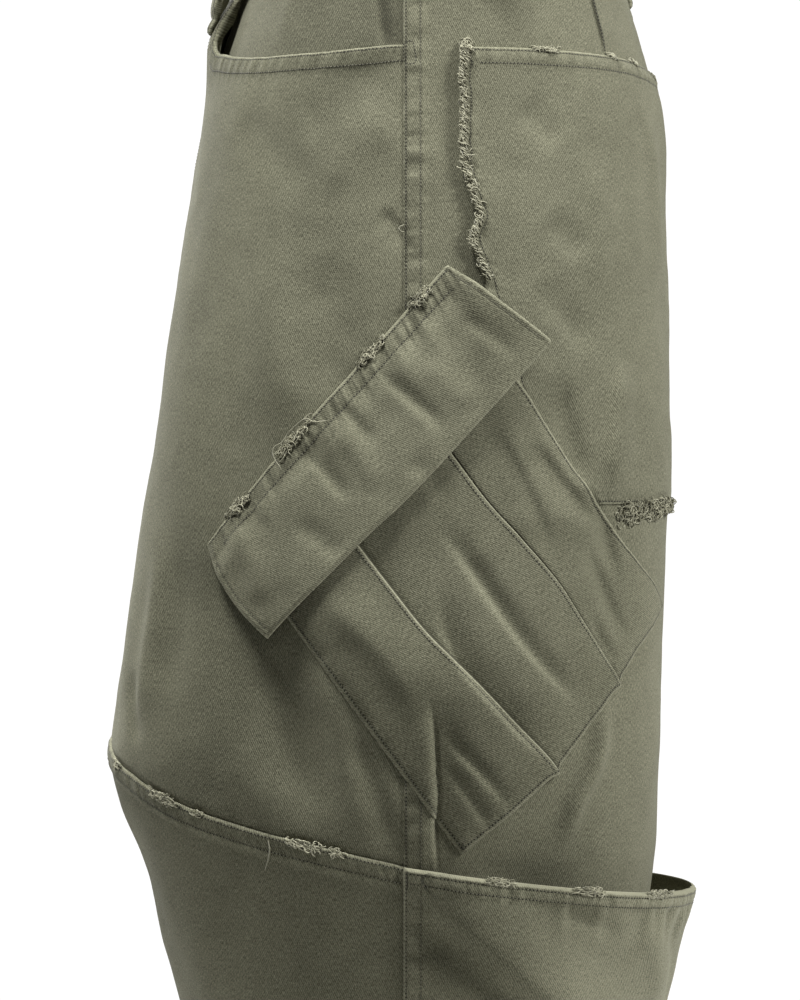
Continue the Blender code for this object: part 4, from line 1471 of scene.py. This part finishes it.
def lower_back(side):
    shares = spaced(LOWER_SPAN, STEP[side])
    top = rim_line(shares)
    drops = hanging(top, OUTSEAM, LOWER_BACK_DEPTH, side)
    arcs = lapped(leg_grid("back", shares, drops), shares)
    out = TWILL + LAYER_GAP + stand_off(shares, drops, side)
    out = out + side_band(np.maximum(arcs, 0)) * LOWER_BACK_BAND
    below = drops - top
    ribs = gathers("lower_back", arcs, below) * blend(arcs, *RIM_RIB_ARCS)
    # Painted highlight along the rim's edge, and painted light and shade on its ribs
    tone_and_shade = RIM_HIGHLIGHT * (1 - blend(below, *RIM_EDGE)) + RIM_RIB_SHADING * ribs
    return sew(laid("lower_back", side, arcs, drops, out, own=ribs, wear=tone_and_shade))


def settled(edge):
    """How far a patch stands off what it lies on: down at its edges, a little off inside."""
    return PATCH_GAP + (LAYER_GAP - PATCH_GAP) * blend(edge, *PATCH_EDGE)


def patch_reach(arcs, drops):
    """Distances from the left, right, top and bottom edge of a patch."""
    base = on_form(arcs, drops)
    across, down = run_along(base, 1), run_along(base, 0)
    return across, across[:, -1:] - across, down, down[-1:] - down


def back_pocket(side):
    across = spaced(BACK_POCKET_SPAN, STEP[side])
    down = spaced(BACK_POCKET_DEPTH, STEP[side])
    top = np.interp(across, (0, 1), BACK_POCKET_TOP) - BACK_POCKET_ARCH * np.sin(np.pi * across)
    drops = top + np.outer(down, BACK_POCKET_BOTTOM - top)
    front_edge = smooth([row[:2] for row in BACK_POCKET], drops)
    arcs = front_edge + across * (read(BACK_POCKET, 2, drops) - front_edge)
    ragged = mottle(drops, drops * 0, 5, 71) * RAW_EDGE + smooth(BACK_POCKET_DRAWN, drops)
    from_edge = across * BACK_POCKET_SPAN
    arcs = arcs + ragged * (1 - blend(from_edge, 0, RAW_EDGE_REACH))
    from_top = down * BACK_POCKET_DEPTH
    rolled = 1 + RAW_CURL_CHANGE * mottle(from_top, 0 * down, 17, 72)[:, None]
    start = blend(from_top, 0, RAW_CURL_START)[:, None]
    curled = RAW_CURL * rolled * bump(from_edge, RAW_CURL_REACH) * start
    out = TWILL + settled(np.min(patch_reach(arcs, drops), axis=0))
    return sew(laid("back_pocket", side, arcs, drops, out, own=curled))


def between_corners(corners, across, down):
    """Arcs and drops at shares across and down a four-cornered patch."""
    top_front, top_back, bottom_front, bottom_back = np.array(corners, dtype=float)
    across, down = across[..., None], down[..., None]
    top = top_front + across * (top_back - top_front)
    bottom = bottom_front + across * (bottom_back - bottom_front)
    return np.moveaxis(top + down * (bottom - top), -1, 0)


def pleated(side):
    """Places across the cargo pocket, in bays, how high each lies, and its painted highlight and shade.
    """
    bay = spaced(BAY_SPAN, STEP[side] * BAY_CLOSER[side])
    fold = np.array(PLEAT_FOLD).T
    columns = []
    for number in range(BAYS):
        first, last = number == 0, number == BAYS - 1
        inner = bay if first else bay[1:]
        low = number + (0 if first else PLEAT_CLEAR[0])
        high = number + (1 if last else 1 - PLEAT_CLEAR[1])
        rise = 0 * inner if last else 1 - (1 - inner) ** PLEAT_ROUND
        # Painted highlight at a fold's edge, painted shade where the next bay comes out from under it
        tone = PLEAT_HIGHLIGHT_AND_SHADE * (inner > 0.99) - PLEAT_HIGHLIGHT_AND_SHADE * (inner < 0.03) * (not first)
        columns.append((low + inner * (high - low), rise, tone))
        if not last:
            columns.append((number + 1 + fold[0], fold[1], fold[2]))
    return np.concatenate(columns, axis=1)


def cargo_pocket(side):
    bays, heights, tone_and_shade = pleated(side)
    down = spaced(CARGO_DEPTH, STEP[side])
    if side > 0:
        down = finer(down, CARGO_DEPTH, *CARGO_FINER)
    bays, down = np.meshgrid(bays, down)
    marks = np.arange(BAYS + 1)
    at_top, at_bottom = (
        np.interp(bays, marks, [0, *row, 1]) for row in zip(*CARGO_PLEATS)
    )
    arcs, drops = between_corners(CARGO_CORNERS, at_top + down * (at_bottom - at_top), down)
    sags = smooth_rows(CARGO_SAG, down).reshape(down.shape + (len(marks),))
    left = np.clip(bays.astype(int), 0, BAYS - 1)
    mix = bays - left
    rows, columns = np.indices(bays.shape)
    sag = sags[rows, columns, left] * (1 - mix) + sags[rows, columns, left + 1] * mix
    hitch = np.interp(bays, *np.array(CARGO_HITCH).T)
    for mark in marks[1:-1]:
        hitch = hitch - CARGO_CORNER * bump(bays - mark + CARGO_CORNER_AT, CARGO_CORNER_REACH)
    hitch = hitch * down ** 3
    arcs = arcs + SAG_WAY[0] * sag - HITCH_WAY[0] * hitch
    drops = drops + SAG_WAY[1] * sag - HITCH_WAY[1] * hitch
    pleat = np.array(PLEATS_DRAWN)[left] * heights * blend(down, 0, PLEATS_OPEN_BY)
    out = TWILL + settled(np.min(patch_reach(arcs, drops), axis=0))
    out = out + under_patch(arcs, drops) + pleat
    grid = laid("cargo_pocket", side, arcs, drops, out, grain=PATCH_GRAIN, wear=tone_and_shade)
    lines = []
    for mark in marks[1:-1]:
        column = int(np.argmin(abs(bays[0] - (mark - PLEAT_STITCHES))))
        rows = np.arange(bays.shape[0], dtype=float)
        lines.append(path(grid, rows, np.full(len(rows), float(column)), *PLEAT_STITCH_ENDS))
    for edge in ("left", "right", "bottom"):
        lines.append(path(grid, *along_edge(grid, edge, STYLES["edge"][0][0]), 2, 2))
    stitched(grid, lines)
    return grid


def cargo_flap(side):
    step = STEP[side] * FLAP_CLOSER
    across, down = np.meshgrid(spaced(FLAP_SPAN, step), spaced(FLAP_DEPTH, step))
    arcs, drops = between_corners(FLAP_CORNERS, across, down)
    wave = FLAP_WAVE * mottle(across * FLAP_SPAN, 0 * down, 30, 304)
    belly = (FLAP_BELLY + wave) * down * np.sin(np.pi * across)
    bulge = FLAP_BULGE * np.sin(np.pi * down) * (1 - blend(across, 0, FLAP_BULGE_ENDS))
    arcs = arcs + belly * FLAP_BELLY_WAY[0] + bulge * FLAP_BULGE_WAY[0]
    drops = drops + belly * FLAP_BELLY_WAY[1] + bulge * FLAP_BULGE_WAY[1]
    along, _, below, _ = patch_reach(arcs, drops)
    lift = FLAP_LIFT * blend(down, FLAP_LIFT_START, FLAP_LIFTED_BY) + FLAP_SPRING * down ** 2
    out = TWILL + settled(below) + under_patch(arcs, drops) + lift
    own = FLAP_DENTS * mottle(along, below, 23, 303) * blend(below, *FLAP_DENT_START)
    own = own + gathers("cargo_flap", along, below)
    return sew(laid("cargo_flap", side, arcs, drops, out, grain=PATCH_GRAIN, own=own))


def round_waist(turns, below_top):
    """Points and directions round the waist: 0 is centre front, growing to the left and round."""
    turns = turns % 2
    left = np.where(turns > 1, 2 - turns, turns)
    points = np.zeros(turns.shape + (3,))
    away = np.zeros(turns.shape + (3,))
    for name in WAYS:
        chosen = ((left < 0.5) == (name == "front"))[..., None]
        share = abs(2 * left - 1)
        arc = WAYS[name] * share * length(name, np.full(share.shape, BAND_HEIGHT / 2))
        top = waist_top(arc)
        arc = WAYS[name] * share * length(name, top + below_top)
        spot = on_form(arc, top + below_top)
        points += np.where(chosen, spot, 0)
        away += np.where(chosen, outwards(spot), 0)
    flip = np.where(turns > 1, -1, 1)
    points[..., 0] = (points[..., 0] + SEAM_GAP / 2) * flip
    away[..., 0] *= flip
    return points, away


def waistband():
    half_round = 2 * length("front", BAND_HEIGHT / 2)
    full = 2 * half_round + BAND_LAP + BAND_UNDER
    turns = (spaced(full, BAND_STEPS[0]) * full - BAND_LAP) / half_round
    turns, below_top = np.meshgrid(turns, spaced(BAND_HEIGHT, BAND_STEPS[1]) * BAND_HEIGHT)
    past_front = turns * half_round
    lift = BAND_LAP_LIFT * (1 - blend(past_front, BAND_LAP_FLAT, BAND_LAP_END))
    base, away = round_waist(turns, below_top)
    own = BAND_WAVE * mottle(past_front, below_top, 22, 401)
    own = own * blend(past_front, BAND_LAP_END, BAND_WAVE_START)
    own = own * blend(full - BAND_LAP - past_front, *BAND_WAVE_END)
    grid = lay(
        "waistband", 1, past_front, below_top, base, away, BAND_PROUD + lift,
        wall=BAND_TWILL, own=own, grain=90,
    )
    start, end, tack = BUTTONHOLE
    middle = BAND_HEIGHT / 2
    slit = [[(start, middle + rise), (end, middle + rise)] for rise in (-1.0, 1.0)]
    return sew(grid, slit + [[(tack, middle - 1.4), (tack, middle + 1.4)]])


def fly_shield():
    width = SHIELD_LEFT - SHIELD_RIGHT
    across = SHIELD_RIGHT + spaced(width, SHIELD_STEPS[0]) * width
    across, down = np.meshgrid(across, spaced(SHIELD_DEPTH, SHIELD_STEPS[1]))
    seam = waist_seam("front", np.ones(across.size)).reshape(across.shape)
    drops = seam + down * (SHIELD_END - seam)
    arcs = abs(across) - length("front", drops)
    base = on_form(arcs, drops)
    away = outwards(base)
    base[..., 0] = (base[..., 0] + SEAM_GAP / 2) * np.sign(across)
    away[..., 0] *= np.sign(across)
    out = -(TWILL + LAYER_GAP) - SHIELD_SET_BACK * down + relief(arcs, drops, 1)
    return sew(lay("fly_shield", 1, across, drops, base, away, out))


def loop_out(below_top, bow):
    share = np.clip((below_top - LOOP_SEAT) / (LOOP_LENGTH - 2 * LOOP_SEAT), 0, 1)
    on_band = BAND_PROUD * (1 - blend(below_top, BAND_HEIGHT, LOOP_LENGTH - LOOP_SEAT))
    return LOOP_WALL + LOOP_CLEAR + on_band + bow * np.sin(np.pi * share) ** LOOP_FULLNESS


def loop_rows():
    return np.meshgrid(
        (spaced(LOOP_WIDTH, LOOP_STEPS[0]) - 0.5) * LOOP_WIDTH,
        1 + spaced(LOOP_LENGTH - 1, LOOP_STEPS[1]) * (LOOP_LENGTH - 1),
    )


def tacked(grid, left, right, places):
    """Sews the bars that hold a belt loop, two rows at its top and two at its bottom."""
    return sew(grid, [[(left, place), (right, place)] for place in places], skip=("top", "bottom"))


def belt_loop(name, side, counted_from, distance, bow):
    across, below_top = loop_rows()
    at_front = counted_from == "centre front"
    def start(drops):
        return -length("front", drops) if at_front else 0 * drops
    top = waist_top(start(np.array(BAND_HEIGHT / 2)) + distance)
    drawn = 1 if at_front else SIDE_LOOP_DRAWN
    drops = top + below_top * drawn
    arcs = start(drops) + distance + across
    base = on_form(arcs, drops)
    away = outwards(base)
    base[..., 0] += SEAM_GAP / 2
    out = loop_out(below_top, bow) + mouth_gape(arcs, drops) + relief(arcs, drops, side)
    grid = lay(name, side, arcs, drops, base, away, out, wall=LOOP_WALL)
    ends = np.array((*LOOP_BARS, *(LOOP_LENGTH - bar for bar in LOOP_BARS[::-1])))
    left = across[0, 1] + arcs[0, 0] - across[0, 0]
    return tacked(grid, left, arcs[0, -2], top + drawn * ends)


def back_loop():
    across, below_top = loop_rows()
    turns = 1 + across / (2 * length("back", BAND_HEIGHT))
    base, away = round_waist(turns, below_top)
    out = loop_out(below_top, BACK_LOOP_BOW)
    grid = lay("belt_loop_back", 1, across, below_top, base, away, out, wall=LOOP_WALL)
    low, high = (1 + bar for bar in LOOP_BARS)
    return tacked(grid, -4, 4, (low, high, LOOP_LENGTH - high, LOOP_LENGTH - low))


GRIDS = {}
for side in (1, -1):
    for maker in (
        front_panel, pocket_facing, back_panel, lower_front, lower_back, back_pocket,
        cargo_pocket, cargo_flap,
    ):
        made = maker(side)
        GRIDS[made["name"]] = made
for made in (waistband(), fly_shield(), back_loop(), *(belt_loop(*loop) for loop in LOOPS)):
    GRIDS[made["name"]] = made

# The turned button keeps its solid, with four holes sewn through
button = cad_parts["waist_button"]
button.data.materials.clear()
button.data.materials.append(button_material())
button.data.shade_smooth()

# Ways that loose threads lie: headings from straight out of the edge, how fast they curl, and how
# far they reach out of the edge against along it
LOOPED = (-3.14, 3.14), (0.25, 0.85), 1.0
FLAT = (-3.14, 3.14), (0.25, 0.80), 0.5
TWISTED = (2.05, 2.65), (0.02, 0.20), 1.0

# Frayed places: edge, start, end, how many threads, length, lift, how far inside the edge, lie
FRAY = {
    "back_pocket": (
        ("left", 0, 134, 470, 4.4, 1.8, (0.2, 2.6), TWISTED),
        ("left", 0, 134, 110, 6.0, 1.8, (-0.4, 2.8), FLAT),
        ("left", 56, 100, 24, 8.5, 2.2, (-1.0, 4.2), LOOPED),
        ("top", 0, 6, 60, 6.5, 2.2, (-4.5, 3.0), LOOPED),
        ("top", 38, 57, 56, 7.0, 1.2, (-1.4, 1.8), FLAT),
        ("top", 91, 101, 26, 6.5, 1.1, (-1.4, 1.8), FLAT),
        ("top", 112, 127, 30, 6.5, 1.1, (-1.4, 1.8), FLAT),
        ("top", 168, 175, 14, 6.5, 1.2, (-1.4, 2.2), LOOPED),
        ("right", 0, 6, 18, 7.0, 1.2, (-2.0, 2.0), LOOPED),
        ("bottom", 46, 66, 90, 7.5, 3.5, (-12.0, -2.5), LOOPED),
        ("bottom", 52, 86, 130, 8.0, 4.0, (-8.5, 0.0), LOOPED),
        ("bottom", 72, 106, 130, 8.0, 5.0, (-4.5, 2.0), LOOPED),
    ),
    "cargo_flap": (
        ("top", 18, 36, 60, 8.5, 1.5, (-1.8, 3.6), FLAT),
        ("top", 22, 30, 12, 8.0, 1.8, (-2.4, 4.4), LOOPED),
        ("top", 57, 86, 90, 8.5, 1.5, (-1.8, 3.8), FLAT),
        ("top", 64, 72, 14, 8.5, 1.9, (-2.4, 4.8), LOOPED),
        ("top", 120, 142, 76, 8.5, 1.4, (-1.4, 2.6), FLAT),
        ("top", 124, 134, 12, 8.0, 1.8, (-2.0, 3.8), LOOPED),
        ("top", 162, 178, 54, 8.0, 1.5, (-2.0, 3.6), FLAT),
        ("top", 166, 173, 12, 8.0, 1.8, (-2.4, 4.2), LOOPED),
    ),
    "lower_front": (
        ("top", 248, 258, 30, 6.0, 1.3, (-1.4, 2.0), FLAT),
        ("top", 288, 315, 76, 6.5, 1.3, (-1.4, 2.2), FLAT),
        ("top", 298, 310, 12, 6.5, 1.5, (-1.8, 2.8), LOOPED),
        ("top", 322, 331, 12, 6.0, 1.2, (-1.2, 2.0), FLAT),
        ("top", 376, 398, 70, 6.5, 1.3, (-1.4, 2.2), FLAT),
        ("top", 401, 409, 26, 6.5, 1.4, (-1.4, 2.6), FLAT),
        ("top", 389, 397, 8, 6.5, 1.5, (-1.8, 2.8), LOOPED),
    ),
    "lower_back": (
        ("top", 41, 59, 56, 6.5, 1.3, (-1.2, 2.2), FLAT),
        ("top", 89, 107, 56, 6.5, 1.3, (-1.2, 2.2), FLAT),
        ("top", 99, 105, 10, 6.5, 1.5, (-1.4, 3.2), LOOPED),
        ("top", 133, 160, 80, 6.5, 1.3, (-1.2, 2.4), FLAT),
    ),
}
FRAY_SHARE = {1: 1, -1: 3}
FRAY_SEED = 900
STRANDS = {
    "cargo_flap": (
        ((-62, 312, 6.5), (-66, 306, 7), (-66, 301, 7.5), (-62, 298, 6.5), (-59, 293, 6)),
        ((-59, 293, 6), (-53, 288, 7), (-49, 286, 8), (-45, 288, 8.5), (-38, 287, 8)),
    ),
    "front": (
        ((0, 184, 2), (-3, 186, 3), (-2, 188, 3), (0, 188, 2)),
        ((-70, 499, 2.5), (-69, 505, 3), (-72, 515, 2)),
    ),
}
for number, name in enumerate(sorted({*FRAY, *STRANDS})):
    for side in (1, -1):
        grid = GRIDS[sided(name, side)]
        rng = np.random.default_rng(FRAY_SEED + number * 10 + side)
        made = []
        for edge, start, end, count, *more, lie in FRAY.get(name, ()):
            made.append(tuft(grid, rng, edge, start, end, count // FRAY_SHARE[side], *more, *lie))
        if side > 0:
            made += [strand(places) for places in STRANDS.get(name, ())]
        if not made:
            continue
        cores, ups, radii = (np.concatenate(part) for part in zip(*made))
        piece = tubes(sided(name, side) + "_fray", cores, ups, radii, side, number)
        grid["sewing"].append(piece)

for name, grid in GRIDS.items():
    width, height, area = CUTS[kind_of(name)]


# ---- the studio ----

FLOOR_DROP = 1.02
FLOOR_REACH = 0.85
FLOOR_CORNERS = 64
LIT_PLACE = (0.1, 0, -0.3)
LAMP_DISTANCE = 3
LAMPS = (
    # name, degrees above the garment, degrees round from its left side, size, energy
    ("from above", 72, -75, 0.9, 184),
    ("from the back", 34, 72, 0.9, 126),
    ("from the far side", 35, 200, 1.5, 70),
)
# A white wall behind the garment, as the camera sees it, and a dimmer room in front
BEHIND, ROOM = 1.05, 0.15
CAMERA_PLACE = (3.2, -0.017, -0.326)
CAMERA_LENS = 210.0

turns = np.linspace(0, 2 * np.pi, FLOOR_CORNERS + 1)[:-1]
level = np.full(FLOOR_CORNERS, -FLOOR_DROP)
floor_mesh = bpy.data.meshes.new("floor")
floor_mesh.from_pydata(
    np.stack([FLOOR_REACH * np.cos(turns), FLOOR_REACH * np.sin(turns), level], -1).tolist(),
    [], [tuple(range(FLOOR_CORNERS))],
)
floor = placed("floor", floor_mesh)
floor_mesh.materials.append(
    new_material("Pale_floor", Base_Color=(0.62, 0.62, 0.61, 1), Roughness=0.9)[0]
)

for name, *angles, size, energy in LAMPS:
    light = bpy.data.lights.new(name, "AREA")
    light.shape = "DISK"
    light.size = size
    light.energy = energy
    height, bearing = map(math.radians, angles)
    away = Vector((
        math.cos(height) * math.cos(bearing), math.cos(height) * math.sin(bearing), math.sin(height)
    ))
    lamp = placed(name, light)
    lamp.location = Vector(LIT_PLACE) + away * LAMP_DISTANCE
    lamp.rotation_euler = away.to_track_quat("Z", "Y").to_euler()

world = bpy.data.worlds.new("Studio")
world.use_nodes = True
bpy.context.scene.world = world
sky = world.node_tree
ways = add(sky, "SeparateXYZ", "X", Vector=add(sky, "TexCoord", "Generated"))
share = computed(sky, "MULTIPLY_ADD", ways, 0.5, 0.5)
walls = colours_of(sky, share, (0.16, (1, 1, 1)), (0.50, (ROOM / BEHIND,) * 3))
fill(sky, sky.nodes["Background"], Color=walls, Strength=BEHIND)
bpy.context.scene.view_settings.view_transform = "Standard"

camera_data = bpy.data.cameras.new("camera")
camera_data.sensor_width = 36
camera_data.lens = CAMERA_LENS
camera = placed("camera", camera_data)
camera.location = CAMERA_PLACE
camera.rotation_euler = (math.radians(90), 0, math.radians(90))
bpy.context.scene.camera = camera
